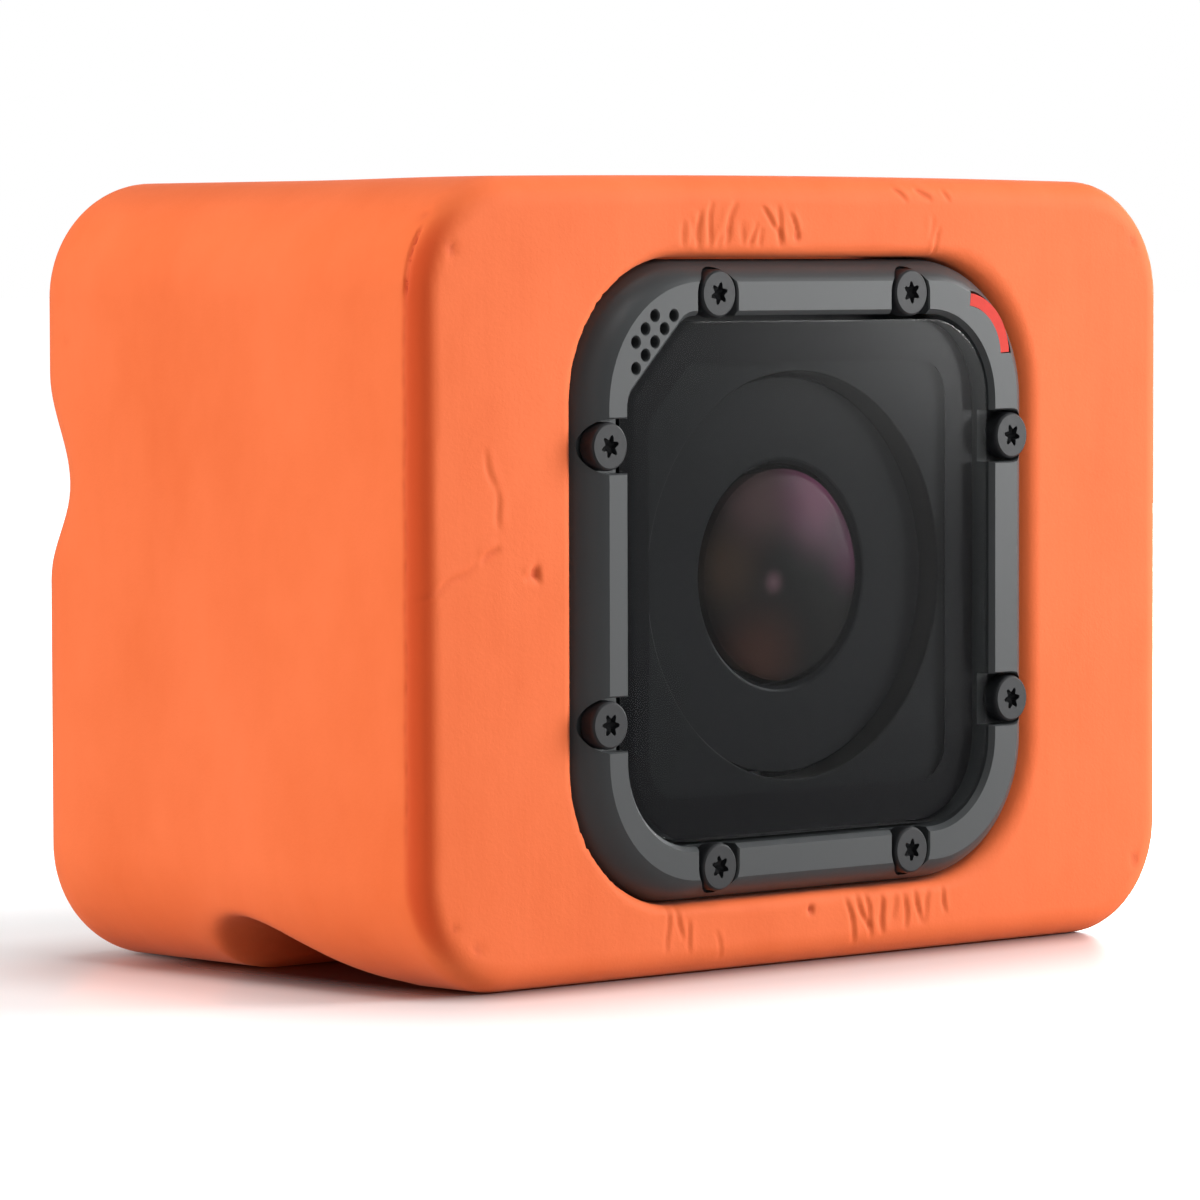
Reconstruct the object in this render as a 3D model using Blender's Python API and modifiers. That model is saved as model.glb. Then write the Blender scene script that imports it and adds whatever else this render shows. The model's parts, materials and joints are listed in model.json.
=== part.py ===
"""Cube action camera in a foam float, one named object for each separate piece.

All dimensions below are in millimetres. The part's frame has +Z up, the lens looks along -Y, and the
origin is the middle of the bottom of the whole part. The camera's pieces are drawn in the camera's own
frame: an empty in the middle of its front face, with X to the right of someone who faces the lens, Y the
depth behind the front face, and Z up.
"""

import math

import bmesh
import bpy
from mathutils import Matrix, Vector

MM = 0.001
GAP = 0.3

# The foam float
FOAM_WIDTH = 63.2
FOAM_DEPTH = 36.0
FOAM_HEIGHT = 47.2
FOAM_CORNER = 7.0
FOAM_FRONT_FILLET = 1.8
FOAM_BACK_FILLET = 3.6
SLEEVE_FIT = 0.3
TOP_WINDOW = (24.0, 25.0)
TOP_WINDOW_START = 6.5
SIDE_WINDOW = (18.5, 28.0)
SIDE_WINDOW_START = 13.9
CHANNEL_START = 7.4
CHANNEL_CREST = 18.2
CHANNEL_END = 21.8
CHANNEL_HEIGHT = 3.7
CHANNEL_INNER_HEIGHT = 2.0
GROOVE_LOW = -0.3
GROOVE_HIGH = 12.3
GROOVE_DEEPEST = 5.5
GROOVE_DEPTH = 1.9

# The camera's body
CAMERA_SIDE = 38.1
CAMERA_DEPTH = 36.4
CAMERA_CORNER = 8.5
CAMERA_OFFSET_X = -0.5
CAMERA_OFFSET_Z = -0.16
HEAD_PROUD = 0.3
BEZEL_PROUD = 0.9
WALL = 1.6
PORT_WALL = 3.25
RIM_BACK = 8.0
RIM_OPENING = 15.2
BACK_FILLET = 2.0

# The front: bezel, window and screws
BEZEL_DEPTH = 3.2
SHOULDER = 2.05
GLASS_HALF = (15.0, 15.4)
GLASS_CORNER = 5.0
GLASS_CUT = 4.5
GLASS_TOP = 0.15
GLASS_THICKNESS = 1.2
SCREW_NEAR = 8.14
SCREW_FAR = 17.0
HEAD_RADIUS = 1.35
HEAD_DEPTH = 1.3
SHANK_RADIUS = 0.55
SHANK_END = 6.3
NOTCH_RADIUS = 1.65
NOTCH_FLOOR = 1.3
STAR_OUTER = 0.68
STAR_INNER = 0.42
STAR_DEPTH = 0.6
MIC_HOLE = 0.33
MIC_STEP = 0.77
MIC_ROW_START = (-14.85, 12.66)
LIGHT_CENTRE = (12.6, 12.9)
LIGHT_RADII = (3.15, 4.05)
LIGHT_ANGLES = (3.0, 83.0)

# The lens
RING_RADIUS = 12.3
BAFFLE_HOLE = 6.75
LENS_RADIUS = 6.4

# The buttons
SHUTTER_DEPTHS = (20.8, 28.2)
SHUTTER_HALF = 7.7
SHUTTER_PROUD = 0.1
MENU_CENTRE = (9.0, 12.8)
MENU_RADIUS = 2.7
MENU_PROUD = 0.2
MENU_INNER = 34.2

# The side door and what is behind it
DOOR_DEPTHS = (18.4, 30.2)
DOOR_HALF = 12.0
DOOR_FACES = (17.65, 18.9)
HINGE_SIDE = 17.9
KNUCKLE_RADIUS = 0.95
PIN_RADIUS = 0.35
PIN_BORE = 0.6
PIN_HALF = 12.8
PORT_DEPTHS = (20.6, 27.6)
PORT_HALF = 11.4
SOCKET_MOUTH = 16.4
SEAL_FACES = (17.1, 17.5)
LATCH_PLACE = (0.75, 9.9, 0.0)

FOAM_FRONT = -(FOAM_DEPTH + BEZEL_PROUD + HEAD_PROUD) / 2 + HEAD_PROUD + BEZEL_PROUD
FACE_Y = FOAM_FRONT - BEZEL_PROUD
CAMERA_ORIGIN = (CAMERA_OFFSET_X, FACE_Y, FOAM_HEIGHT / 2 + CAMERA_OFFSET_Z)
HALF = CAMERA_SIDE / 2
INNER = HALF - WALL
INNER_BACK = CAMERA_DEPTH - WALL


def clear_scene():
    for old in list(bpy.data.objects):
        bpy.data.objects.remove(old, do_unlink=True)


def collection(name):
    made = bpy.data.collections.new(name)
    bpy.context.scene.collection.children.link(made)
    return made


clear_scene()
PARTS = collection("action_camera")
CUTTERS = collection("cutters")


def material(name, colour, roughness, metallic=0.0):
    made = bpy.data.materials.new(name)
    made.use_nodes = True
    shader = made.node_tree.nodes["Principled BSDF"]
    shader.inputs["Base Color"].default_value = (*colour, 1.0)
    shader.inputs["Roughness"].default_value = roughness
    shader.inputs["Metallic"].default_value = metallic
    return made


def empty(name, place, parent=None):
    made = bpy.data.objects.new(name, None)
    made.location = Vector(place) * MM
    made.parent = parent
    PARTS.objects.link(made)
    return made


CAMERA = empty("camera_face", CAMERA_ORIGIN)


def add(name, mesh, finish=None, parent=CAMERA):
    """A finished piece where it has a finish, and otherwise a cutter."""
    made = bpy.data.objects.new(name, mesh)
    made.parent = parent
    if finish is None:
        CUTTERS.objects.link(made)
        made.display_type = "WIRE"
        made.hide_render = True
        return made
    PARTS.objects.link(made)
    mesh.materials.append(finish)
    return made


def smooth(mesh):
    mesh.shade_smooth()
    mesh.set_sharp_from_angle(angle=math.radians(35))
    return mesh


def to_mesh(name, shape):
    bmesh.ops.scale(shape, vec=(MM, MM, MM), verts=shape.verts)
    mesh = bpy.data.meshes.new(name)
    shape.to_mesh(mesh)
    shape.free()
    return smooth(mesh)


def block(
    name, low, high, finish=None, axis=1, corner=0.0, steps=4, rims=(0.0, 0.0), rim_steps=3, parent=CAMERA
):
    """A box whose four edges along one axis are rounded, and then the rims of its two ends."""
    shape = bmesh.new()
    bmesh.ops.create_cube(shape, size=1.0)
    low, high = Vector(low), Vector(high)
    place = Matrix.LocRotScale((low + high) / 2, None, high - low)
    bmesh.ops.transform(shape, matrix=place, verts=shape.verts)
    if corner:
        along = [e for e in shape.edges if abs((e.verts[0].co - e.verts[1].co)[axis]) > 1e-4]
        round_edges(shape, along, corner, steps)
    for end, radius in zip((low[axis], high[axis]), rims):
        if radius:
            rim = [e for e in shape.edges if all(abs(v.co[axis] - end) < 1e-4 for v in e.verts)]
            round_edges(shape, rim, radius, rim_steps)
    return add(name, to_mesh(name, shape), finish, parent)


def round_edges(shape, edges, radius, steps):
    bmesh.ops.bevel(
        shape, geom=edges, offset=radius, offset_type="OFFSET", segments=steps, profile=0.5, affect="EDGES"
    )


TURNS = {"y": Matrix.Rotation(math.radians(-90), 4, "X"), "z": Matrix()}


def cylinder(name, start, length, radius, finish=None, axis="y", sides=24, end_radius=None, parent=CAMERA):
    """A round bar or cone from a start point along one axis."""
    shape = bmesh.new()
    bmesh.ops.create_cone(
        shape,
        cap_ends=True,
        segments=sides,
        radius1=radius,
        radius2=radius if end_radius is None else end_radius,
        depth=length,
    )
    bmesh.ops.translate(shape, vec=(0, 0, length / 2), verts=shape.verts)
    bmesh.ops.transform(shape, matrix=Matrix.Translation(start) @ TURNS[axis], verts=shape.verts)
    return add(name, to_mesh(name, shape), finish, parent)


def turned(name, profile, finish, steps=32, centre=(0.0, 0.0), closed=False):
    """A piece turned about an axis along the depth, from a profile that runs front to back outside."""
    mesh = bpy.data.meshes.new(name)
    points = [(radius * MM, 0.0, -depth * MM) for radius, depth in profile]
    edges = [(i, i + 1) for i in range(len(points) - 1)]
    if closed:
        edges.append((len(points) - 1, 0))
    mesh.from_pydata(points, edges, [])
    made = add(name, mesh, finish)
    made.location = Vector((centre[0], 0.0, centre[1])) * MM
    made.rotation_euler = (math.radians(90), 0.0, 0.0)
    screw = made.modifiers.new("turn", "SCREW")
    screw.axis = "Z"
    screw.steps = steps
    screw.render_steps = steps
    screw.use_merge_vertices = True
    screw.merge_threshold = 0.000001
    screw.use_smooth_shade = True
    return made


def rounded(corners, radii, steps=5):
    """An outline with an arc at each corner, running anticlockwise."""
    points = []
    for i, corner in enumerate(corners):
        corner = Vector(corner)
        back = (Vector(corners[i - 1]) - corner).normalized()
        ahead = (Vector(corners[(i + 1) % len(corners)]) - corner).normalized()
        half = back.angle(ahead) / 2
        reach = radii[i] / math.tan(half)
        middle = corner + (back + ahead).normalized() * (radii[i] / math.sin(half))
        start = corner + back * reach - middle
        sweep = math.pi - 2 * half
        for step in range(steps + 1):
            points.append(middle + Matrix.Rotation(sweep * step / steps, 2) @ start)
    return points


def window_outline(inset, steps=5):
    """The window's outline moved in by an inset: a rounded square with its upper left corner cut off."""
    x = GLASS_HALF[0] - inset
    z = GLASS_HALF[1] - inset
    cut = GLASS_CUT - inset * (2 - math.sqrt(2))
    radius = max(GLASS_CORNER - inset, 0.5)
    small = 1.6
    corners = [(x, -z), (x, z), (-x + cut, z), (-x, z - cut), (-x, -z)]
    return rounded(corners, [radius, radius, small, small, radius], steps)


def square_outline(half, radius, steps=5):
    corners = [(half, -half), (half, half), (-half, half), (-half, -half)]
    return rounded(corners, [radius] * 4, steps)


FACINGS = {"depth": (math.radians(90), 0.0, 0.0), "side": (math.radians(90), 0.0, math.radians(90))}


def flat(name, outlines, start, end, finish=None, facing="depth", parent=CAMERA):
    """A flat piece with the given outline, and any holes, made solid from one depth or side to another."""
    curve = bpy.data.curves.new(name, "CURVE")
    curve.dimensions = "2D"
    curve.fill_mode = "BOTH"
    curve.extrude = (end - start) / 2 * MM
    for outline in outlines:
        spline = curve.splines.new("POLY")
        spline.points.add(len(outline) - 1)
        for point, (x, y) in zip(spline.points, outline):
            point.co = (x * MM, y * MM, 0.0, 1.0)
        spline.use_cyclic_u = True
    drawn = bpy.data.objects.new(name + "_outline", curve)
    PARTS.objects.link(drawn)
    middle = (start + end) / 2 * MM
    drawn.rotation_euler = FACINGS[facing]
    drawn.location = (0.0, middle, 0.0) if facing == "depth" else (middle, 0.0, 0.0)
    bpy.context.view_layer.update()
    mesh = bpy.data.meshes.new_from_object(drawn.evaluated_get(bpy.context.evaluated_depsgraph_get()))
    place = drawn.matrix_world.copy()
    bpy.data.objects.remove(drawn, do_unlink=True)
    shape = bmesh.new()
    shape.from_mesh(mesh)
    bmesh.ops.transform(shape, matrix=place, verts=shape.verts)
    bmesh.ops.remove_doubles(shape, verts=shape.verts, dist=0.000005)
    bmesh.ops.recalc_face_normals(shape, faces=shape.faces)
    shape.to_mesh(mesh)
    shape.free()
    mesh.name = name
    mesh.materials.clear()
    return add(name, smooth(mesh), finish, parent)


def combine(target, others, operation="DIFFERENCE"):
    for other in others:
        step = target.modifiers.new(operation.lower(), "BOOLEAN")
        step.operation = operation
        step.solver = "EXACT"
        step.object = other
    return target


def cut(target, *others):
    return combine(target, others)


def join(target, *others):
    return combine(target, others, "UNION")


# Finishes
FOAM = material("foam", (0.86, 0.19, 0.06), 0.75)
GUNMETAL = material("gunmetal", (0.13, 0.135, 0.14), 0.4, 0.6)
SHELL = material("shell", (0.035, 0.037, 0.04), 0.6)
GLASS = material("glass", (0.02, 0.02, 0.022), 0.05)
DARK = material("dark_plastic", (0.015, 0.015, 0.017), 0.5)
BLACK_STEEL = material("black_steel", (0.04, 0.04, 0.043), 0.4, 0.8)
SEAL = material("seal", (0.02, 0.02, 0.02), 0.8)
LENS = material("lens", (0.12, 0.05, 0.12), 0.05)
RED = material("red_light", (0.8, 0.03, 0.03), 0.35)
BRIGHT = material("bright_metal", (0.6, 0.6, 0.6), 0.3, 1.0)
CIRCUIT = material("circuit_board", (0.01, 0.09, 0.04), 0.5)
CHIP = material("chip", (0.02, 0.02, 0.022), 0.4)
SILVER = material("silver_film", (0.55, 0.56, 0.58), 0.35, 0.7)
SENSOR = material("sensor", (0.05, 0.06, 0.12), 0.15)


def channel_outline(height):
    """The channel's section, as depth and height: a long easy slope in front and a steep round end behind."""
    points = [(CHANNEL_START, -1.0)]
    for step in range(9):
        share = step / 8
        depth = CHANNEL_START + (CHANNEL_CREST - CHANNEL_START) * share
        points.append((depth, height * share * share * (3 - 2 * share)))
    for step in range(1, 7):
        angle = math.radians(90) * step / 6
        points.append(
            (CHANNEL_CREST + (CHANNEL_END - CHANNEL_CREST) * math.sin(angle), height * math.cos(angle))
        )
    points.append((CHANNEL_END, -1.0))
    return [(FACE_Y + depth, z) for depth, z in points]


def groove_outline():
    """The section of the groove across the back, as depth and height, deepest below its middle."""
    back = FOAM_FRONT + FOAM_DEPTH
    middle = CAMERA_ORIGIN[2]
    points = [(back + 1.0, middle + GROOVE_HIGH), (back + 1.0, middle + GROOVE_LOW)]
    for step in range(13):
        share = step / 12
        height = GROOVE_LOW + (GROOVE_HIGH - GROOVE_LOW) * share
        turn = (GROOVE_DEEPEST - GROOVE_LOW) / (GROOVE_HIGH - GROOVE_LOW)
        phase = share / turn if share < turn else (1 - share) / (1 - turn)
        points.append((back + 0.02 - GROOVE_DEPTH * (1 - math.cos(math.pi * phase)) / 2, middle + height))
    return points


def float_body():
    x = FOAM_WIDTH / 2
    back = FOAM_FRONT + FOAM_DEPTH
    body = block(
        "float_body",
        (-x, FOAM_FRONT, 0.0),
        (x, back, FOAM_HEIGHT),
        FOAM,
        corner=FOAM_CORNER,
        steps=6,
        rims=(FOAM_FRONT_FILLET, FOAM_BACK_FILLET),
        parent=None,
    )
    room = HALF + SLEEVE_FIT
    sleeve = block(
        "sleeve_cut",
        (-room, -5.0, -room),
        (room, 45.0, room),
        corner=CAMERA_CORNER + SLEEVE_FIT,
        steps=6,
    )
    top = block(
        "top_window_cut",
        (-TOP_WINDOW[0] / 2, TOP_WINDOW_START, HALF - 3.0),
        (TOP_WINDOW[0] / 2, TOP_WINDOW_START + TOP_WINDOW[1], HALF + 10.0),
        axis=2,
        corner=5.0,
    )
    side = block(
        "side_window_cut",
        (HALF - 3.0, SIDE_WINDOW_START, -SIDE_WINDOW[1] / 2),
        (HALF + 20.0, SIDE_WINDOW_START + SIDE_WINDOW[0], SIDE_WINDOW[1] / 2),
        axis=0,
        corner=3.0,
        steps=3,
    )
    groove = flat("groove_cut", [groove_outline()], -x - 1.0, x + 1.0, facing="side", parent=None)
    cut(body, sleeve, top, side, groove)
    stretches = (
        (-x - 1.0, -20.0, CHANNEL_HEIGHT),
        (-20.5, 20.5, CHANNEL_INNER_HEIGHT),
        (20.0, x + 1.0, CHANNEL_HEIGHT),
    )
    for number, (start, end, height) in enumerate(stretches):
        outline = channel_outline(height)
        cut(body, flat(f"channel_{number}_cut", [outline], start, end, facing="side", parent=None))
    return body


def screw_places():
    """The eight screws: two on each side of the front."""
    near, far = SCREW_NEAR, SCREW_FAR
    return [
        (-near, far),
        (near, far),
        (far, near),
        (far, -near),
        (near, -far),
        (-near, -far),
        (-far, -near),
        (-far, near),
    ]


def housing():
    shell = block(
        "camera_housing",
        (-HALF, BEZEL_DEPTH + GAP, -HALF),
        (HALF, CAMERA_DEPTH, HALF),
        SHELL,
        corner=CAMERA_CORNER,
        steps=6,
        rims=(0.0, BACK_FILLET),
    )
    cavity = block(
        "cavity_cut",
        (-INNER, RIM_BACK, -INNER),
        (HALF - PORT_WALL, INNER_BACK, INNER),
        corner=5.0,
    )
    mouth = flat("mouth_cut", [square_outline(RIM_OPENING, GLASS_CORNER)], 0.0, RIM_BACK + 1.0)
    cut(shell, cavity, mouth)
    for number, (x, z) in enumerate(screw_places()):
        cut(shell, cylinder(f"thread_{number}_cut", (x, 2.0, z), SHANK_END - 2.0 + GAP, 0.85, sides=10))
    low = INNER - 1.0
    high = HALF + 1.0
    screen = block("screen_cut", (-8.3, 9.4, low), (8.3, 17.8, high), axis=2, corner=1.2, steps=2)
    front, back = SHUTTER_DEPTHS
    reach = SHUTTER_HALF + GAP
    shutter = block(
        "shutter_cut",
        (-reach, front - GAP, low),
        (reach, back + GAP, high),
        axis=2,
        corner=(back - front) / 2 + GAP - 0.01,
        steps=6,
    )
    menu = cylinder("menu_cut", (MENU_CENTRE[0], 33.0, MENU_CENTRE[1]), 5.0, MENU_RADIUS + GAP)
    cut(shell, screen, shutter, menu)
    for slot in range(3):
        z = MENU_CENTRE[1] + (slot - 1) * 1.7
        cut(shell, block(f"speaker_{slot}_cut", (-11.2, 33.0, z - 0.35), (-6.8, 38.0, z + 0.35)))
    door_recess(shell)
    return shell


def door_recess(shell):
    """The recess for the side door, its hinge groove, its pin holes and the opening to the sockets."""
    front, back = DOOR_DEPTHS
    recess = block(
        "recess_cut",
        (DOOR_FACES[0] - GAP, front, -DOOR_HALF - GAP),
        (HALF + 1.0, back + GAP, DOOR_HALF + GAP),
        axis=0,
        corner=0.4,
        steps=1,
    )
    reach = KNUCKLE_RADIUS + 0.4
    half = DOOR_HALF + GAP
    groove = cylinder("knuckle_cut", (HINGE_SIDE, front, -half), 2 * half, reach, axis="z")
    relief = block(
        "knuckle_relief_cut",
        (HINGE_SIDE, front - reach, -DOOR_HALF - GAP),
        (HALF + 1.0, front + 1.0, DOOR_HALF + GAP),
    )
    end = PIN_HALF + GAP
    pin = cylinder("pin_cut", (HINGE_SIDE, front, -end), 2 * end, PIN_BORE, axis="z", sides=10)
    port = block(
        "port_cut",
        (HALF - PORT_WALL - 1.0, PORT_DEPTHS[0], -PORT_HALF),
        (HALF, PORT_DEPTHS[1], PORT_HALF),
        axis=0,
        corner=1.0,
        steps=2,
    )
    catch = block("catch_cut", (18.1, back, -1.6), (HALF + 1.0, back + 1.2, 1.6))
    return cut(shell, recess, groove, relief, pin, port, catch)


def mic_places():
    """Two rows of small holes on a diagonal: five in the inner row and three in the outer one."""
    x, z = MIC_ROW_START
    inner = [(x + MIC_STEP * i, z + MIC_STEP * i) for i in range(5)]
    outer = [(x + MIC_STEP * i, z + MIC_STEP * (i + 2)) for i in range(3)]
    return inner + outer


def diagonal_box(name, centre, size, depths, finish=None):
    """A box whose long side lies on the upper left corner's diagonal."""
    length, width = size
    along = Vector((1.0, 1.0)).normalized()
    across = Vector((-1.0, 1.0)).normalized()
    middle = Vector(centre)
    corners = [(-1, -1), (1, -1), (1, 1), (-1, 1)]
    outline = [middle + along * a * length / 2 + across * b * width / 2 for a, b in corners]
    return flat(name, [outline], depths[0], depths[1], finish)


def light_outline(inner_gap, outer_gap, end_gap):
    """The arc of the light strip round the upper right corner, made wider by the gaps."""
    inner, outer = LIGHT_RADII
    low, high = LIGHT_ANGLES
    angles = [math.radians(low - end_gap + (high - low + 2 * end_gap) * i / 8) for i in range(9)]
    x, z = LIGHT_CENTRE
    near = [(x + (inner - inner_gap) * math.cos(a), z + (inner - inner_gap) * math.sin(a)) for a in angles]
    far = [(x + (outer + outer_gap) * math.cos(a), z + (outer + outer_gap) * math.sin(a)) for a in angles]
    return near + far[::-1]


MIC_MIDDLE = (-13.7, 14.6)


def bezel():
    ring = block(
        "front_bezel",
        (-HALF, 0.0, -HALF),
        (HALF, BEZEL_DEPTH, HALF),
        GUNMETAL,
        corner=CAMERA_CORNER,
        steps=6,
        rims=(SHOULDER, 0.0),
        rim_steps=4,
    )
    cut(ring, flat("window_cut", [window_outline(-GAP)], -1.0, BEZEL_DEPTH + 1.0))
    for number, (x, z) in enumerate(screw_places()):
        inward = Vector((-x, 0.0, 0.0)) if abs(x) > abs(z) else Vector((0.0, 0.0, -z))
        inward = inward.normalized() * 3.0
        across = Vector((abs(inward.z), 0.0, abs(inward.x))).normalized() * NOTCH_RADIUS
        middle = Vector((x, 0.0, z))
        spread = [middle + across, middle - across, middle + inward + across, middle + inward - across]
        low = Vector((min(p.x for p in spread), -1.0, min(p.z for p in spread)))
        high = Vector((max(p.x for p in spread), NOTCH_FLOOR, max(p.z for p in spread)))
        cut(
            ring,
            cylinder(f"notch_{number}_cut", (x, -1.0, z), NOTCH_FLOOR + 1.0, NOTCH_RADIUS, sides=16),
            block(f"notch_mouth_{number}_cut", low, high),
            cylinder(f"shank_{number}_cut", (x, 0.0, z), BEZEL_DEPTH + 1.0, 0.85, sides=10),
        )
    for number, (x, z) in enumerate(mic_places()):
        cut(ring, cylinder(f"mic_{number}_cut", (x, -1.0, z), 3.0, MIC_HOLE, sides=8))
    pocket = diagonal_box("mic_pocket_cut", MIC_MIDDLE, (5.8, 2.0), (1.3, BEZEL_DEPTH + 1.0))
    light = flat("light_cut", [light_outline(0.1, 0.3, 2.0)], -1.0, BEZEL_DEPTH + 1.0)
    return cut(ring, pocket, light)


def screws():
    """A turned screw with a low round head and a six-pointed socket, at each of the eight places."""
    star = []
    for point in range(12):
        radius = STAR_OUTER if point % 2 == 0 else STAR_INNER
        angle = math.radians(30 * point + 15)
        star.append((radius * math.cos(angle), radius * math.sin(angle)))
    top = -HEAD_PROUD
    profile = [
        (0.0, top),
        (HEAD_RADIUS - 0.25, top),
        (HEAD_RADIUS - 0.07, top + 0.08),
        (HEAD_RADIUS, top + 0.25),
        (HEAD_RADIUS, top + HEAD_DEPTH),
        (SHANK_RADIUS, top + HEAD_DEPTH),
        (SHANK_RADIUS, SHANK_END - 0.4),
        (0.2, SHANK_END),
        (0.0, SHANK_END),
    ]
    for number, (x, z) in enumerate(screw_places(), start=1):
        made = turned(f"front_screw_{number}", profile, BLACK_STEEL, steps=16, centre=(x, z))
        outline = [(x + a, z + b) for a, b in star]
        cut(made, flat(f"star_{number}_cut", [outline], top - 1.0, top + STAR_DEPTH))


def window():
    back = GLASS_TOP + GLASS_THICKNESS
    flat("window_glass", [window_outline(0.0)], GLASS_TOP, back, GLASS)
    flat("window_seal", [window_outline(0.4), window_outline(1.6)], back + GAP, back + 0.9, SEAL)


def lens_surround():
    """A raised square plate on a wider flange, with the round opening for the lens."""
    plate = flat("lens_surround", [window_outline(1.9)], 1.7, 3.0, DARK)
    flange = flat("surround_flange_cut", [window_outline(0.4)], 2.55, 3.8)
    hole = cylinder("ring_cut", (0.0, 0.0, 0.0), 6.0, RING_RADIUS, sides=48)
    return cut(join(plate, flange), hole)


def lens_stack():
    """The front seal, the baffle, the barrel and the glass and stop inside it."""
    rim = [square_outline(RIM_OPENING - GAP, 4.7), square_outline(13.2, 3.0)]
    flat("front_seal", rim, 4.1, 5.3, SEAL)
    edge = RING_RADIUS - GAP
    disc = [(edge, 3.0), (edge, 4.4), (BAFFLE_HOLE, 4.4), (BAFFLE_HOLE, 3.5), (7.3, 3.0)]
    turned("lens_baffle", disc, DARK, closed=True, steps=48)
    turned(
        "lens_barrel",
        [(8.0, 4.7), (8.0, 9.2), (6.6, 9.2), (6.6, 15.5), (4.2, 15.5), (4.2, 8.0), (6.7, 8.0), (6.7, 4.7)],
        DARK,
        closed=True,
    )
    angles = [math.radians(18 * i) for i in range(5)]
    dome = [(LENS_RADIUS * math.sin(angle), 3.1 - 1.0 * math.cos(angle)) for angle in angles]
    dish = [(4.6, 7.7), (4.0, 6.6), (2.4, 5.6), (0.0, 5.2)]
    turned("front_lens", dome + [(LENS_RADIUS, 3.1), (LENS_RADIUS, 7.7)] + dish, LENS)
    turned("middle_lens", [(0.0, 8.3), (2.0, 8.4), (3.9, 8.9), (3.9, 10.4), (0.0, 10.7)], LENS, steps=24)
    stop = [(3.9, 11.0), (3.9, 11.4), (1.0, 11.4), (1.0, 11.0)]
    turned("aperture_ring", stop, BLACK_STEEL, steps=24, closed=True)
    turned("rear_lens", [(0.0, 11.7), (3.9, 12.0), (3.9, 13.9), (2.0, 14.8), (0.0, 15.1)], LENS, steps=24)
    mount = block("lens_mount", (-8.5, 10.2, -8.5), (8.5, 17.5, 8.5), DARK, corner=1.5, steps=2)
    cut(
        mount,
        cylinder("mount_bore_cut", (0.0, 9.0, 0.0), 7.0, 6.9, sides=32),
        block("mount_well_cut", (-6.0, 15.5, -6.0), (6.0, 19.0, 6.0)),
    )
    block("image_sensor", (-4.2, 16.4, -3.4), (4.2, 17.5, 3.4), SENSOR)


def electronics():
    """Boards, chips, sockets, battery, screen, speaker, microphone and light."""
    block("sensor_board", (-9.5, 17.8, -10.5), (9.5, 18.6, 10.5), CIRCUIT, corner=0.8, steps=2)
    block("heat_spreader", (-14.5, 19.1, -14.5), (14.5, 20.2, 13.2), BRIGHT, corner=2.0, steps=2)
    block("main_board", (-16.0, 20.8, -14.8), (15.3, 21.6, 13.3), CIRCUIT, corner=2.0, steps=2)
    block("processor_chip", (-13.0, 21.9, -6.0), (-1.0, 23.0, 6.0), CHIP, corner=0.3, steps=1)
    sockets()
    block("battery_pack", (-14.0, 25.7, -15.2), (11.0, 31.4, 8.6), SILVER, corner=1.5, steps=3)
    block("top_board", (-11.0, 8.8, 13.9), (11.0, 29.5, 14.7), CIRCUIT, axis=2, corner=1.0, steps=2)
    block("status_screen", (-8.8, 9.1, 15.0), (8.8, 18.1, 17.1), SENSOR, axis=2)
    block("status_window", (-8.0, 9.7, 17.7), (8.0, 17.5, HALF - 0.05), GLASS, axis=2, corner=0.9, steps=2)
    block("rear_board", (-14.0, 31.7, 9.6), (13.5, 32.5, 16.4), CIRCUIT, corner=1.0, steps=2)
    cylinder("speaker", (-9.0, 32.8, MENU_CENTRE[1]), 1.7, 3.4, CHIP, sides=24)
    diagonal_box("microphone_mesh", MIC_MIDDLE, (5.2, 1.4), (1.6, 1.8), BLACK_STEEL)
    diagonal_box("microphone", MIC_MIDDLE, (3.0, 1.4), (2.1, 3.1), BRIGHT)
    flat("light_strip", [light_outline(0.0, 0.0, 0.0)], 0.05, 1.5, RED)
    x, z = LIGHT_CENTRE
    reach = (LIGHT_RADII[0] + LIGHT_RADII[1]) / 2 * math.sqrt(0.5)
    lamp = rounded([(0.8, -0.3), (0.8, 0.3), (-0.8, 0.3), (-0.8, -0.3)], [0.05] * 4, 1)
    turn = Matrix.Rotation(math.radians(-45), 2)
    placed = [turn @ point + Vector((x + reach, z + reach)) for point in lamp]
    flat("record_lamp", [placed], 1.8, 2.6, RED)


def sockets():
    """The charging socket, the card slot and the card in it, side by side behind the door's opening."""
    low, high = Vector((9.1, 21.9, -10.8)), Vector((SOCKET_MOUTH, 25.1, -1.9))
    socket = block("charging_socket", low, high, BRIGHT, axis=0, corner=1.3, steps=3)
    low += Vector((1.6, 0.45, 0.5))
    high += Vector((1.6, -0.45, -0.5))
    cut(socket, block("charging_mouth_cut", low, high, axis=0, corner=1.0, steps=3))
    slot = block("card_slot", (0.9, 21.9, -1.4), (SOCKET_MOUTH, 23.9, 10.8), BRIGHT)
    cut(slot, block("card_mouth_cut", (1.6, 22.25, -1.0), (18.0, 23.55, 10.4)))
    block("memory_card", (1.9, 22.55, -0.8), (16.8, 23.25, 10.2), CHIP, corner=0.3, steps=1)


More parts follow.
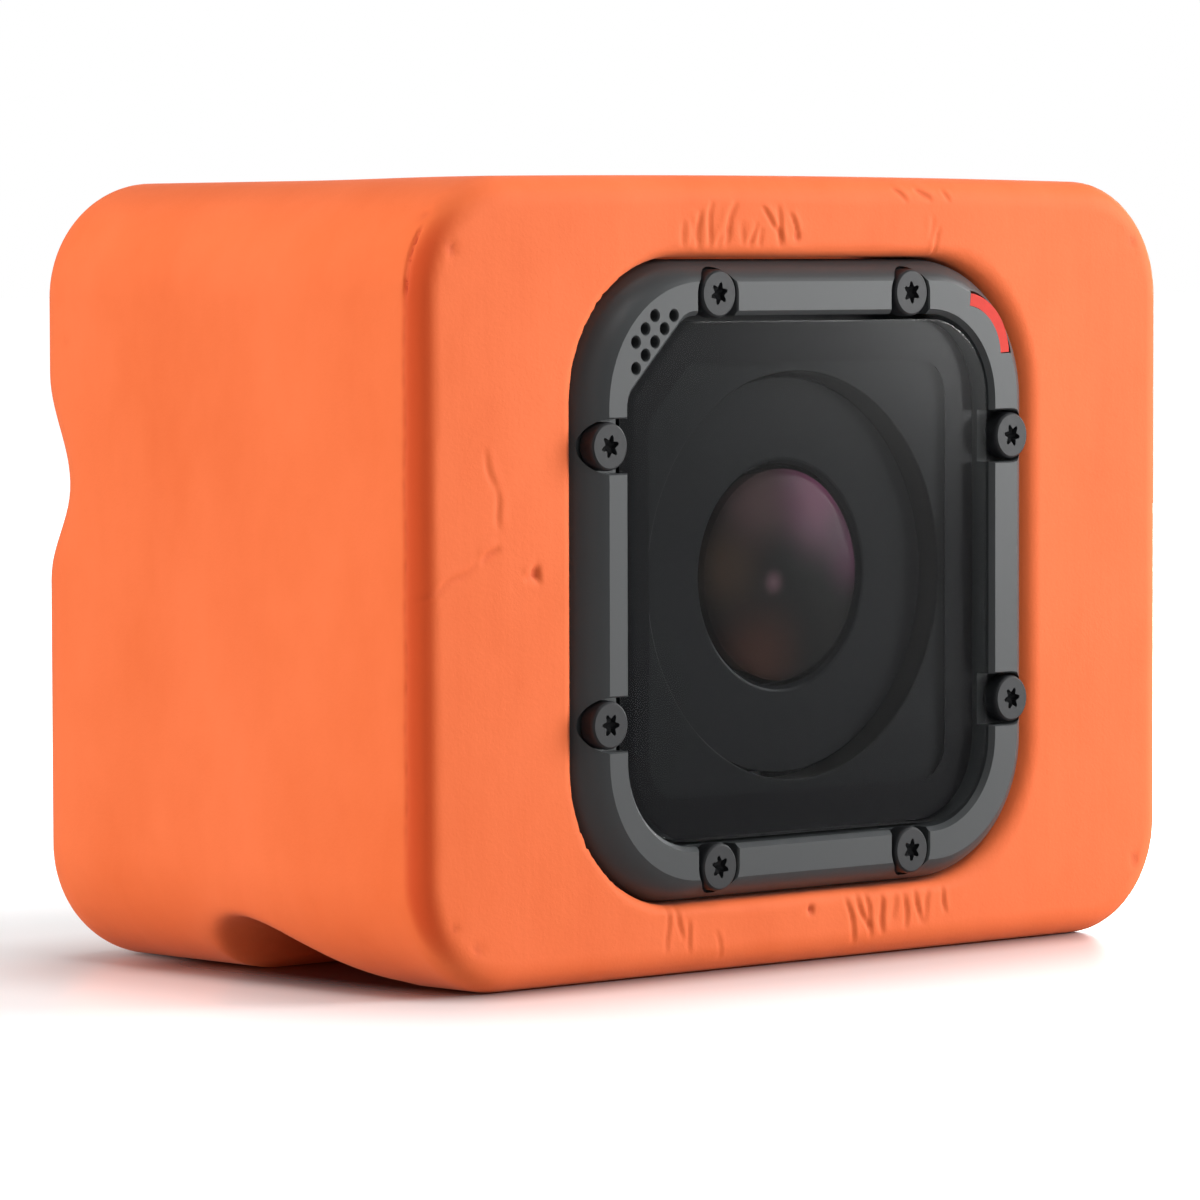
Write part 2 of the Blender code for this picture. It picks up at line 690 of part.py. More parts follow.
def shutter():
    """The long round-ended button on top, and the switch that it presses."""
    front, back = SHUTTER_DEPTHS
    middle = (front + back) / 2
    half = (back - front) / 2
    axis = empty("shutter_axis", (0.0, middle, HALF), CAMERA)
    block(
        "shutter_button",
        (-SHUTTER_HALF, -half, 16.6 - HALF),
        (SHUTTER_HALF, half, SHUTTER_PROUD),
        BLACK_STEEL,
        axis=2,
        corner=half - 0.01,
        steps=6,
        rims=(0.0, 0.25),
        rim_steps=2,
        parent=axis,
    )
    low = (-2.0, middle - 2.0, 15.0)
    high = (2.0, middle + 2.0, 15.8)
    block("shutter_switch", low, high, BRIGHT, axis=2, corner=0.5, steps=2)


def menu_button():
    """The round button on the back, and its switch."""
    x, z = MENU_CENTRE
    axis = empty("menu_axis", (x, CAMERA_DEPTH, z), CAMERA)
    depth = MENU_INNER - CAMERA_DEPTH
    start = (0.0, depth, 0.0)
    button = cylinder("menu_button", start, MENU_PROUD - depth, MENU_RADIUS, BLACK_STEEL, parent=axis)
    edge = button.modifiers.new("edge", "BEVEL")
    edge.width = 0.2 * MM
    edge.segments = 2
    edge.limit_method = "ANGLE"
    edge.angle_limit = math.radians(60)
    block("menu_switch", (x - 1.6, 32.8, z - 1.6), (x + 1.6, 33.5, z + 1.6), BRIGHT, corner=0.4, steps=2)


def side_door():
    """The door over the sockets, hinged in front, with its pin, its seal and the latch that slides on it."""
    front, back = DOOR_DEPTHS
    inner, outer = DOOR_FACES
    width = back - front
    axis = empty("door_axis", (HINGE_SIDE, front, 0.0), CAMERA)
    door = block(
        "side_door",
        (inner - HINGE_SIDE, 0.0, -DOOR_HALF),
        (outer - HINGE_SIDE, width, DOOR_HALF),
        SHELL,
        axis=0,
        corner=0.35,
        steps=1,
        parent=axis,
    )
    length = 2 * DOOR_HALF
    foot = (0.0, 0.0, -DOOR_HALF)
    knuckle = cylinder("knuckle_join_cut", foot, length, KNUCKLE_RADIUS, axis="z", sides=20, parent=axis)
    below = (0.0, 0.0, -HALF)
    bore = cylinder("knuckle_bore_cut", below, CAMERA_SIDE, PIN_BORE, axis="z", sides=10, parent=axis)
    pocket = block("latch_pocket_cut", (0.35, 8.0, -4.0), (2.0, width - 0.6, 4.0), parent=axis)
    notch = block("latch_notch_cut", (0.35, 9.0, -1.3), (2.0, width + 1.0, 1.3), parent=axis)
    cut(join(door, knuckle), bore, pocket, notch)
    start = (HINGE_SIDE, front, -PIN_HALF)
    cylinder("hinge_pin", start, 2 * PIN_HALF, PIN_RADIUS, BRIGHT, axis="z", sides=12)
    door_seal(axis)
    door_latch(axis)


def door_seal(axis):
    """A ring on the inside of the door that fills the rim of the opening to the sockets."""
    near, far = (depth - DOOR_DEPTHS[0] for depth in PORT_DEPTHS)
    rings = []
    for inset, radius in ((GAP, 0.7), (GAP + 0.9, 0.3)):
        low, high, half = near + inset, far - inset, PORT_HALF - inset
        rings.append(rounded([(high, -half), (high, half), (low, half), (low, -half)], [radius] * 4, 2))
    inner, outer = (face - HINGE_SIDE for face in SEAL_FACES)
    flat("door_seal", rings, inner, outer, SEAL, facing="side", parent=axis)


def door_latch(axis):
    """A flat slider with a raised grip and a tongue that reaches over the door's free edge."""
    slider = empty("latch_axis", LATCH_PLACE, axis)
    latch = block(
        "door_latch",
        (-0.2, -0.75, -3.6),
        (0.2, 0.95, 3.6),
        BLACK_STEEL,
        axis=0,
        corner=0.3,
        steps=1,
        parent=slider,
    )
    low = (0.0, -0.6, -2.6)
    high = (0.4, 0.5, 2.6)
    grip = block("latch_grip_join_cut", low, high, axis=0, corner=0.2, steps=1, parent=slider)
    tongue = block("latch_tongue_join_cut", (-0.2, 0.5, -1.0), (0.1, 2.6, 1.0), parent=slider)
    return join(latch, grip, tongue)


def build():
    float_body()
    bezel()
    window()
    lens_surround()
    lens_stack()
    screws()
    housing()
    electronics()
    shutter()
    menu_button()
    side_door()


build()
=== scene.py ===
"""Cube action camera in its foam float: the looks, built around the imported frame.

Lengths inside this file are millimetres in two frames. The part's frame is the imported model's. The face
frame has its origin in the middle of the camera's front face: X to the right, Y the depth, Z up.
"""

import json
import math

import bmesh
import bpy
import numpy as np
from mathutils import Matrix, Vector


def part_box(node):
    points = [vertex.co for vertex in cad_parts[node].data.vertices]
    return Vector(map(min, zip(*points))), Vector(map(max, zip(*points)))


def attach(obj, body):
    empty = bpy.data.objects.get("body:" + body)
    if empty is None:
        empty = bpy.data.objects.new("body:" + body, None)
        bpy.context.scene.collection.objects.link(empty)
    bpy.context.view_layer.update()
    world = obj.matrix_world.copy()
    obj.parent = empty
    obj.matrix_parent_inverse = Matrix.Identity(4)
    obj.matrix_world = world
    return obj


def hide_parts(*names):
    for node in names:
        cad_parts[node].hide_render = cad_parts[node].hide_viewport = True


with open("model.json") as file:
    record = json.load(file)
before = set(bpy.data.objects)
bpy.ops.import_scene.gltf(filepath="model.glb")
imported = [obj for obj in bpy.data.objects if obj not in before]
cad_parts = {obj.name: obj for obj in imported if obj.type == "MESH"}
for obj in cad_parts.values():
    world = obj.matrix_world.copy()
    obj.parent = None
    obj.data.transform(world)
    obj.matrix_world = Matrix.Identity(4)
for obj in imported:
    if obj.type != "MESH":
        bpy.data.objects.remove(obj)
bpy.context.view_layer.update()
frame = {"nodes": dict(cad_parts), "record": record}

MM = 0.001
NODES = frame["nodes"]


def box_mm(node):
    """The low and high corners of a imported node, in millimetres."""
    low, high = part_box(node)
    return np.array(low) / MM, np.array(high) / MM


FOAM_LOW, FOAM_HIGH = box_mm("float_body")
BEZEL_LOW, BEZEL_HIGH = box_mm("front_bezel")
FACE = np.array([(BEZEL_LOW[0] + BEZEL_HIGH[0]) / 2, BEZEL_LOW[1], (BEZEL_LOW[2] + BEZEL_HIGH[2]) / 2])
HALF = (BEZEL_HIGH[0] - BEZEL_LOW[0]) / 2
BEZEL_DEPTH = BEZEL_HIGH[1] - BEZEL_LOW[1]


# ---------------------------------------------------------------- materials

def new_material(name):
    """A node material with its Principled shader."""
    made = bpy.data.materials.new(name)
    made.use_nodes = True
    return made, made.node_tree.nodes["Principled BSDF"]


def put(shader, **values):
    """Sets a shader's own sockets; a colour is given as three numbers."""
    for key, value in values.items():
        socket = shader.inputs[key.replace("_", " ").title().replace("Ior", "IOR")]
        socket.default_value = (*value, 1.0) if isinstance(value, tuple) and len(value) == 3 else value


def add_node(made, kind, **inputs):
    """A new node with the named sockets set."""
    node = made.node_tree.nodes.new(kind)
    for key, value in inputs.items():
        node.inputs[key].default_value = value
    return node


def link(made, source, target):
    made.node_tree.links.new(source, target)


def noise(made, scale, detail=4.0, stretch=(1.0, 1.0, 1.0), roughness=0.6):
    """Noise in the object's own coordinates, in waves per metre, with an optional stretch."""
    place = add_node(made, "ShaderNodeTexCoord")
    mapping = add_node(made, "ShaderNodeMapping")
    mapping.inputs["Scale"].default_value = stretch
    link(made, place.outputs["Object"], mapping.inputs["Vector"])
    made_noise = add_node(made, "ShaderNodeTexNoise", Scale=scale, Detail=detail, Roughness=roughness)
    link(made, mapping.outputs["Vector"], made_noise.inputs["Vector"])
    return made_noise.outputs["Fac"]


def spread(made, source, low, high):
    """Maps a value from 0..1 to low..high."""
    node = add_node(made, "ShaderNodeMapRange")
    node.inputs["To Min"].default_value = low
    node.inputs["To Max"].default_value = high
    link(made, source, node.inputs["Value"])
    return node.outputs["Result"]


def fade(made, source, start, end, high=1.0, kind="SMOOTHSTEP"):
    """A smooth step from 0 at the start value to high at the end value."""
    node = add_node(made, "ShaderNodeMapRange")
    node.interpolation_type = kind
    node.inputs["From Min"].default_value = start
    node.inputs["From Max"].default_value = end
    node.inputs["To Max"].default_value = high
    link(made, source, node.inputs["Value"])
    return node.outputs["Result"]


def operate(made, kind, operation, values):
    """A Math or Vector Math node; each value is a number, a vector or another node's output."""
    node = add_node(made, kind)
    node.operation = operation
    for socket, value in zip(node.inputs, values):
        if isinstance(value, bpy.types.NodeSocket):
            link(made, value, socket)
        else:
            socket.default_value = value
    return node.outputs


def maths(made, operation, *values):
    """The result of a Math node."""
    return operate(made, "ShaderNodeMath", operation, values)["Value"]


def vector_maths(made, operation, *values):
    """The result of a Vector Math node: a number for a length or distance, else a vector."""
    result = "Value" if operation in ("DISTANCE", "LENGTH") else "Vector"
    return operate(made, "ShaderNodeVectorMath", operation, values)[result]


def mix(made, factor, first, second):
    """A blend of two colours, each given as three numbers or as another node's output."""
    node = made.node_tree.nodes.new("ShaderNodeMix")
    node.data_type = "RGBA"
    link(made, factor, node.inputs["Factor"])
    for number, value in ((6, first), (7, second)):
        if isinstance(value, tuple):
            node.inputs[number].default_value = (*value, 1.0)
        else:
            link(made, value, node.inputs[number])
    return node.outputs[2]


def mix_shaders(made, factor, first, second):
    """A blend of two shaders: the first at 0, the second at 1."""
    node = add_node(made, "ShaderNodeMixShader")
    link(made, factor, node.inputs["Fac"])
    link(made, first, node.inputs[1])
    link(made, second, node.inputs[2])
    return node.outputs["Shader"]


def bump(made, shader, height, distance, strength=1.0, edge=0.0):
    """Bump of a depth in mm, over an optional rounded-edge normal of a radius in mm."""
    node = add_node(made, "ShaderNodeBump", Strength=strength, Distance=distance * MM)
    link(made, height, node.inputs["Height"])
    if edge:
        rounded = add_node(made, "ShaderNodeBevel", Radius=edge * MM)
        rounded.samples = 4
        link(made, rounded.outputs["Normal"], node.inputs["Normal"])
    link(made, node.outputs["Normal"], shader.inputs["Normal"])


def attribute(made, name):
    """The value that the mesh carries under a name."""
    node = add_node(made, "ShaderNodeAttribute")
    node.attribute_name = name
    return node.outputs["Fac"]


def finish_material(
    name, colour, second, roughness, metallic=0.0, grain=900.0, depth=0.01, edge=0.0, **extra
):
    """A finish with two close colours mottled by noise, roughness that varies, and a fine grain.

    The grain is in waves per metre, and its depth and the rounding of edges are in mm.
    """
    made, shader = new_material(name)
    put(shader, metallic=metallic, **extra)
    coarse = noise(made, 160.0)
    fine = noise(made, grain, 6.0)
    link(made, mix(made, coarse, colour, second), shader.inputs["Base Color"])
    link(made, spread(made, fine, roughness - 0.06, roughness + 0.06), shader.inputs["Roughness"])
    bump(made, shader, fine, depth, 0.6, edge)
    return made


def foam_material():
    """Moulded closed-cell foam: orange, with a fine skin, soft mottling, faint streaks, painted shade in its
    creases and pits and down its front left edge, and a darker seam line.
    """
    made, shader = new_material("orange_foam")
    put(shader, specular_ior_level=0.15, sheen_weight=0.05, sheen_roughness=0.5)
    mottle = noise(made, 90.0, 5.0, (1.0, 1.0, 0.6))
    streak = noise(made, 260.0, 3.0, (1.0, 1.0, 0.06))
    cells = noise(made, 5200.0, 3.0)
    base = mix(made, spread(made, mottle, -0.9, 1.9), (0.83, 0.145, 0.036), (0.93, 0.186, 0.060))
    streaked = mix(made, spread(made, streak, 0.0, 0.35), base, (0.94, 0.195, 0.052))
    # Painted shade: the 'edge' attribute darkens a band down the float's front left edge
    edge_shaded = mix(made, attribute(made, "edge"), streaked, (0.70, 0.085, 0.018))
    # Painted shade in the creases and pits, and a darker line along the moulding seam
    marked = mix(made, attribute(made, "crease_shade_and_seam"), edge_shaded, (0.42, 0.030, 0.008))
    link(made, marked, shader.inputs["Base Color"])
    link(made, spread(made, mottle, 0.62, 0.74), shader.inputs["Roughness"])
    first = add_node(made, "ShaderNodeBump", Strength=0.35, Distance=0.12 * MM)
    link(made, streak, first.inputs["Height"])
    second = add_node(made, "ShaderNodeBump", Strength=0.45, Distance=0.03 * MM)
    link(made, cells, second.inputs["Height"])
    link(made, first.outputs["Normal"], second.inputs["Normal"])
    link(made, second.outputs["Normal"], shader.inputs["Normal"])
    return made


# How far noise moves the patches' edges, in mm
PATCH_WOBBLE = 0.6

# (middle in the face frame, reach in mm, colour) of each painted reflection on the lens; the last, small one
# is a pinkish painted glint near the middle
LENS_PAINTED_REFLECTIONS = (
    ((-5.2, 3.0, 0.6), 4.8, (0.040, 0.026, 0.019)),
    ((-2.6, 2.4, 4.9), 5.2, (0.060, 0.036, 0.037)),
    ((-2.6, 2.6, -5.2), 5.8, (0.042, 0.018, 0.013)),
    ((2.6, 2.4, 4.6), 5.6, (0.095, 0.026, 0.055)),
    ((5.2, 3.0, 1.4), 4.2, (0.058, 0.022, 0.040)),
    ((-1.5, 2.2, -0.4), 1.6, (0.110, 0.062, 0.074)),
)


def lens_material():
    """Dark glass with painted reflections fixed in it: magenta above and right, brown to the left, red brown
    below, grey in the middle.
    """
    made, shader = new_material("lens_painted_reflections")
    put(shader, roughness=0.25, specular_ior_level=0.02)
    place = add_node(made, "ShaderNodeTexCoord").outputs["Object"]
    warp = noise(made, 90.0, 2.0)
    colour = (0.0115, 0.0112, 0.0108)
    # Each patch is a painted reflection, laid over the glass's own dark grey
    for centre, reach, tint in LENS_PAINTED_REFLECTIONS:
        away = vector_maths(made, "DISTANCE", place, ((FACE + np.array(centre)) * MM).tolist())
        wobbly = maths(made, "MULTIPLY_ADD", warp, PATCH_WOBBLE * MM, away)
        near = fade(made, wobbly, reach * MM, 0.0, kind="SMOOTHERSTEP")
        colour = mix(made, near, colour, tint)
    link(made, colour, shader.inputs["Base Color"])
    haze = noise(made, 220.0)
    link(made, spread(made, haze, 0.22, 0.28), shader.inputs["Roughness"])
    return made


# How fast the cover glass grows shinier away from a straight view, and how shiny it gets
GRAZING_POWER = 5.0
GRAZING_SHINE = 0.9


def clear_material(name, tint, shine, gloss):
    """Coated cover glass: see-through, with a faint soft reflection that grows at grazing angles."""
    made = bpy.data.materials.new(name)
    made.use_nodes = True
    made.node_tree.nodes.remove(made.node_tree.nodes["Principled BSDF"])
    clear = add_node(made, "ShaderNodeBsdfTransparent", Color=(*tint, 1.0))
    mirror = add_node(made, "ShaderNodeBsdfGlossy", Color=(1.0, 1.0, 1.0, 1.0))
    smear = noise(made, 60.0, 3.0)
    link(made, spread(made, smear, gloss - 0.02, gloss + 0.02), mirror.inputs["Roughness"])
    facing = add_node(made, "ShaderNodeLayerWeight", Blend=0.5)
    steep = maths(made, "POWER", facing.outputs["Facing"], GRAZING_POWER)
    share = maths(made, "MULTIPLY_ADD", steep, GRAZING_SHINE, shine)
    both = mix_shaders(made, share, clear.outputs["BSDF"], mirror.outputs["BSDF"])
    link(made, both, made.node_tree.nodes["Material Output"].inputs["Surface"])
    return made


def light_material(name, colour, glow):
    """Coloured plastic that also glows faintly."""
    made, shader = new_material(name)
    put(shader, roughness=0.5, specular_ior_level=0.1, emission_color=colour, emission_strength=glow)
    grain = noise(made, 1500.0)
    link(made, mix(made, grain, colour, tuple(0.8 * c for c in colour)), shader.inputs["Base Color"])
    return made


def circuit_material():
    """Green board in two close greens, with lighter tracks between them."""
    made, shader = new_material("board_green")
    put(shader, roughness=0.4)
    tracks = add_node(made, "ShaderNodeTexBrick", Scale=420.0)
    place = add_node(made, "ShaderNodeTexCoord")
    link(made, place.outputs["Object"], tracks.inputs["Vector"])
    tracks.inputs["Color1"].default_value = (0.012, 0.085, 0.035, 1)
    tracks.inputs["Color2"].default_value = (0.008, 0.06, 0.028, 1)
    tracks.inputs["Mortar"].default_value = (0.02, 0.14, 0.06, 1)
    link(made, tracks.outputs["Color"], shader.inputs["Base Color"])
    fine = noise(made, 1800.0)
    bump(made, shader, fine, 0.02, 0.5)
    return made


FOAM = foam_material()
GUNMETAL = finish_material(
    "gunmetal", (0.041, 0.045, 0.047), (0.047, 0.051, 0.053), 0.42,
    grain=2400.0, depth=0.004, specular_ior_level=0.32,
)
SHELL = finish_material(
    "soft_shell", (0.030, 0.032, 0.035), (0.038, 0.040, 0.043), 0.58,
    grain=2600.0, depth=0.015, edge=0.08,
)
DARK = finish_material(
    "black_plastic", (0.0105, 0.0110, 0.0120), (0.0115, 0.0120, 0.0130), 0.25,
    grain=1800.0, depth=0.003, specular_ior_level=0.02,
)
WALL_BLACK = finish_material(
    "ring_black", (0.009, 0.009, 0.009), (0.011, 0.011, 0.011), 0.6,
    grain=1800.0, depth=0.006, specular_ior_level=0.05,
)
MASK = finish_material(
    "printed_border", (0.0055, 0.0055, 0.0065), (0.0065, 0.0065, 0.0075), 0.25,
    grain=1800.0, depth=0.001, specular_ior_level=0.02,
)
SCREW = finish_material(
    "screw_steel", (0.010, 0.011, 0.013), (0.014, 0.015, 0.017), 0.5,
    grain=2600.0, depth=0.006, edge=0.03, specular_ior_level=0.3,
)
SEAL = finish_material(
    "silicone", (0.016, 0.016, 0.017), (0.022, 0.022, 0.023), 0.6, grain=1500.0, depth=0.01
)
LENS = lens_material()
WINDOW = clear_material("cover_window", (0.94, 0.95, 0.95), shine=0.0036, gloss=0.17)
RED = light_material("red_guide", (0.68, 0.040, 0.026), glow=0.12)
BRIGHT = finish_material(
    "plated_steel", (0.50, 0.50, 0.50), (0.62, 0.62, 0.61), 0.28,
    metallic=1.0, grain=2000.0, depth=0.004, edge=0.04,
)
CIRCUIT = circuit_material()
CHIP = finish_material(
    "resin", (0.018, 0.018, 0.020), (0.026, 0.026, 0.028), 0.45, grain=2600.0, depth=0.008, edge=0.04
)
FILM = finish_material(
    "pouch_film", (0.42, 0.43, 0.45), (0.52, 0.53, 0.55), 0.32,
    metallic=0.7, grain=500.0, depth=0.05, edge=0.1,
)
SCREEN = finish_material(
    "screen_glass", (0.035, 0.042, 0.040), (0.045, 0.052, 0.048), 0.12, grain=800.0, depth=0.001
)

SLOT_FINISH = {
    "foam": FOAM,
    "gunmetal": GUNMETAL,
    "shell": SHELL,
    "window": WINDOW,
    "dark_plastic": DARK,
    "black_steel": SCREW,
    "seal": SEAL,
    "lens": LENS,
    "red_light": RED,
    "bright_metal": BRIGHT,
    "circuit": CIRCUIT,
    "chip": CHIP,
    "battery": FILM,
    "sensor": SCREEN,
}


def finish_cad_nodes():
    """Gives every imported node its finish, in place of its plain one."""
    for entry in frame["record"]["subparts"]:
        node = NODES[entry["node"]]
        node.data.materials.clear()
        node.data.materials.append(SLOT_FINISH[entry["material_slot"]])


# ---------------------------------------------------------------- mesh helpers

# Edges sharper than these angles, in degrees, are shaded sharp
SHARP_ANGLE = 16.0
BEZEL_SHARP_ANGLE = 14.0


def add_piece(name, mesh, finish, body, replaced=()):
    """A finished piece in the part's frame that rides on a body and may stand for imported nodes."""
    made = bpy.data.objects.new(name, mesh)
    bpy.context.scene.collection.objects.link(made)
    mesh.materials.clear()
    mesh.materials.append(finish)
    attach(made, body)
    if replaced:
        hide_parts(*replaced)
    return made


def mesh_from(name, points, faces):
    """A smooth-shaded mesh from points in the part's metres."""
    mesh = bpy.data.meshes.new(name)
    mesh.from_pydata([tuple(p) for p in points], [], faces)
    mesh.validate()
    mesh.shade_smooth()
    return mesh


def to_part(points):
    """Face-frame millimetres to the part's metres."""
    return (np.asarray(points, float) + FACE) * MM


def rounded(corners, radii, steps=12):
    """An outline with an arc at each corner, running anticlockwise."""
    points = []
    for i, corner in enumerate(corners):
        corner = Vector(corner)
        back = (Vector(corners[i - 1]) - corner).normalized()
        ahead = (Vector(corners[(i + 1) % len(corners)]) - corner).normalized()
        half = back.angle(ahead) / 2
        reach = radii[i] / math.tan(half)
        middle = corner + (back + ahead).normalized() * (radii[i] / math.sin(half))
        start = corner + back * reach - middle
        sweep = math.pi - 2 * half
        for step in range(steps + 1):
            points.append(tuple(middle + Matrix.Rotation(sweep * step / steps, 2) @ start))
    return points


GLASS_HALF = (15.0, 15.4)
GLASS_CORNER = 5.0
GLASS_CUT = 4.5
GLASS_CUT_CORNER = 1.6


def window_outline(inset, steps=12):
    """The window's outline moved in: a rounded square with its upper left corner cut off."""
    x = GLASS_HALF[0] - inset
    z = GLASS_HALF[1] - inset
    cut = GLASS_CUT - inset * (2 - math.sqrt(2))
    radius = max(GLASS_CORNER - inset, 0.5)
    corners = [(x, -z), (x, z), (-x + cut, z), (-x, z - cut), (-x, -z)]
    return rounded(corners, [radius, radius, GLASS_CUT_CORNER, GLASS_CUT_CORNER, radius], steps)


def square_outline(half, radius, steps):
    """A rounded square about the face's middle."""
    corners = [(half, -half), (half, half), (-half, half), (-half, -half)]
    return rounded(corners, [radius] * 4, steps)


def loft(name, rings, closed=False, caps=(False, False)):
    """Joins rings of equally many face-frame points; closed joins the last ring to the first."""
    count = len(rings[0])
    points = [p for ring in rings for p in ring]
    faces = []
    spans = len(rings) if closed else len(rings) - 1
    for i in range(spans):
        a = i * count
        b = ((i + 1) % len(rings)) * count
        for j in range(count):
            k = (j + 1) % count
            faces.append((a + j, a + k, b + k, b + j))
    if caps[0]:
        faces.append(tuple(reversed(range(count))))
    if caps[1]:
        last = (len(rings) - 1) * count
        faces.append(tuple(range(last, last + count)))
    mesh = mesh_from(name, to_part(points), faces)
    turn_outwards(mesh)
    return mesh


def turn_outwards(mesh):
    """Turns the faces outwards and marks the sharp edges."""
    shape = bmesh.new()
    shape.from_mesh(mesh)
    bmesh.ops.recalc_face_normals(shape, faces=shape.faces)
    shape.to_mesh(mesh)
    shape.free()
    mesh.shade_smooth()
    mesh.set_sharp_from_angle(angle=math.radians(SHARP_ANGLE))


def at_depth(outline, depth):
    """An (x, z) outline as face-frame points at a depth."""
    return [(x, depth, z) for x, z in outline]


def plate(name, outline_at, levels):
    """A solid plate from (inset, depth) levels of an outline, with its two ends closed."""
    rings = [at_depth(outline_at(inset), depth) for inset, depth in levels]
    return loft(name, rings, caps=(True, True))


def circle(radius, count=96, centre=(0.0, 0.0)):
    step = 2 * math.pi / count
    angles = [i * step for i in range(count)]
    return [(centre[0] + radius * math.cos(a), centre[1] + radius * math.sin(a)) for a in angles]


# A turned piece starts this far from its axis, so that no faces shrink to nothing there
AXIS_RADIUS = 0.004


def turned(name, profile, count=96, centre=(0.0, 0.0), closed=False):
    """A piece turned about the depth direction, from (radius, depth) points."""
    rings = [at_depth(circle(max(radius, AXIS_RADIUS), count, centre), depth) for radius, depth in profile]
    return loft(name, rings, closed=closed, caps=(not closed, not closed))


def carve(mesh, cutters, sharp):
    """Cuts closed meshes from a mesh with an exact Boolean; edges over the sharp angle stay sharp."""
    body = bpy.data.objects.new("carve_body", mesh)
    bpy.context.scene.collection.objects.link(body)
    helpers = []
    for cutter in cutters:
        helper = bpy.data.objects.new("carve_cutter", cutter)
        bpy.context.scene.collection.objects.link(helper)
        helpers.append(helper)
        step = body.modifiers.new("cut", "BOOLEAN")
        step.operation = "DIFFERENCE"
        step.solver = "EXACT"
        step.object = helper
    bpy.context.view_layer.update()
    graph = bpy.context.evaluated_depsgraph_get()
    result = bpy.data.meshes.new_from_object(body.evaluated_get(graph))
    result.name = mesh.name + "_cut"
    for helper in helpers:
        bpy.data.objects.remove(helper, do_unlink=True)
    bpy.data.objects.remove(body, do_unlink=True)
    result.shade_smooth()
    result.set_sharp_from_angle(angle=math.radians(sharp))
    return result


def prism(name, outline, start, end):
    """A straight solid on an outline, from one depth to another."""
    return loft(name, [at_depth(outline, start), at_depth(outline, end)], caps=(True, True))


# ---------------------------------------------------------------- the foam float

SLEEVE_HALF = HALF + 0.12
SLEEVE_CORNER = 8.6
FOAM_CORNER = 7.0
FRONT_FILLET = 1.7
BACK_FILLET = 3.6
WINDOW_LIP = 1.2
CHANNEL_LIP = 0.6

# The two openings' reach in depth behind the face, and their size in the other direction
TOP_WINDOW = (6.5, 31.5)
TOP_WINDOW_HALF = 12.0
TOP_WINDOW_CORNER = 5.0
SIDE_WINDOW = (13.9, 32.4)
SIDE_WINDOW_HALF = 14.0
SIDE_WINDOW_CORNER = 3.0

# The groove across the back: heights in the face frame, and how deep it is
GROOVE_LOW = -0.3
GROOVE_DEEPEST = 5.5
GROOVE_HIGH = 12.3
GROOVE_DEPTH = 1.9

# The channel under the float: depths behind the face, and its height in the middle and at the sides
CHANNEL_START = 7.2
CHANNEL_CREST = 18.3
CHANNEL_END = 21.8
CHANNEL_HEIGHT = 2.0
CHANNEL_FLARE = 1.7

# The moulding seam down the left side: how far it lies behind the face
SEAM_DEPTH = 2.1


def rectangle(a, b, half_a, half_b, radius):
    """Distance to a rounded rectangle in two coordinates."""
    da = np.abs(a) - (half_a - radius)
    db = np.abs(b) - (half_b - radius)
    outside = np.hypot(np.maximum(da, 0), np.maximum(db, 0))
    return outside + np.minimum(np.maximum(da, db), 0) - radius


def round_both(a, b, radius):
    """The overlap of two solids, with its edge rounded to a radius."""
    outside = np.hypot(np.maximum(a + radius, 0), np.maximum(b + radius, 0))
    return np.minimum(np.maximum(a, b), -radius) + outside


def ease(value):
    """A smooth step from 0 to 1."""
    value = np.clip(value, 0, 1)
    return value * value * (3 - 2 * value)


def groove_depth(z):
    """How deep the groove across the back is at a height in the face frame."""
    rising = (z - GROOVE_LOW) / (GROOVE_DEEPEST - GROOVE_LOW)
    falling = (GROOVE_HIGH - z) / (GROOVE_HIGH - GROOVE_DEEPEST)
    share = np.where(z < GROOVE_DEEPEST, rising, falling)
    return GROOVE_DEPTH * (1 - np.cos(np.pi * np.clip(share, 0, 1))) / 2


def channel_height(x, depth):
    """How high the channel under the float is: a long easy slope in front and a steep end behind."""
    height = CHANNEL_HEIGHT + CHANNEL_FLARE * ease((np.abs(x) - 17.0) / 4.0)
    slope = ease((depth - CHANNEL_START) / (CHANNEL_CREST - CHANNEL_START))
    past_crest = (depth - CHANNEL_CREST) / (CHANNEL_END - CHANNEL_CREST)
    fall = np.sqrt(np.clip(1 - past_crest**2, 0, 1))
    share = np.where(depth < CHANNEL_CREST, slope, fall)
    inside = (depth > CHANNEL_START) & (depth < CHANNEL_END)
    return np.where(inside, height * share, -1.0)


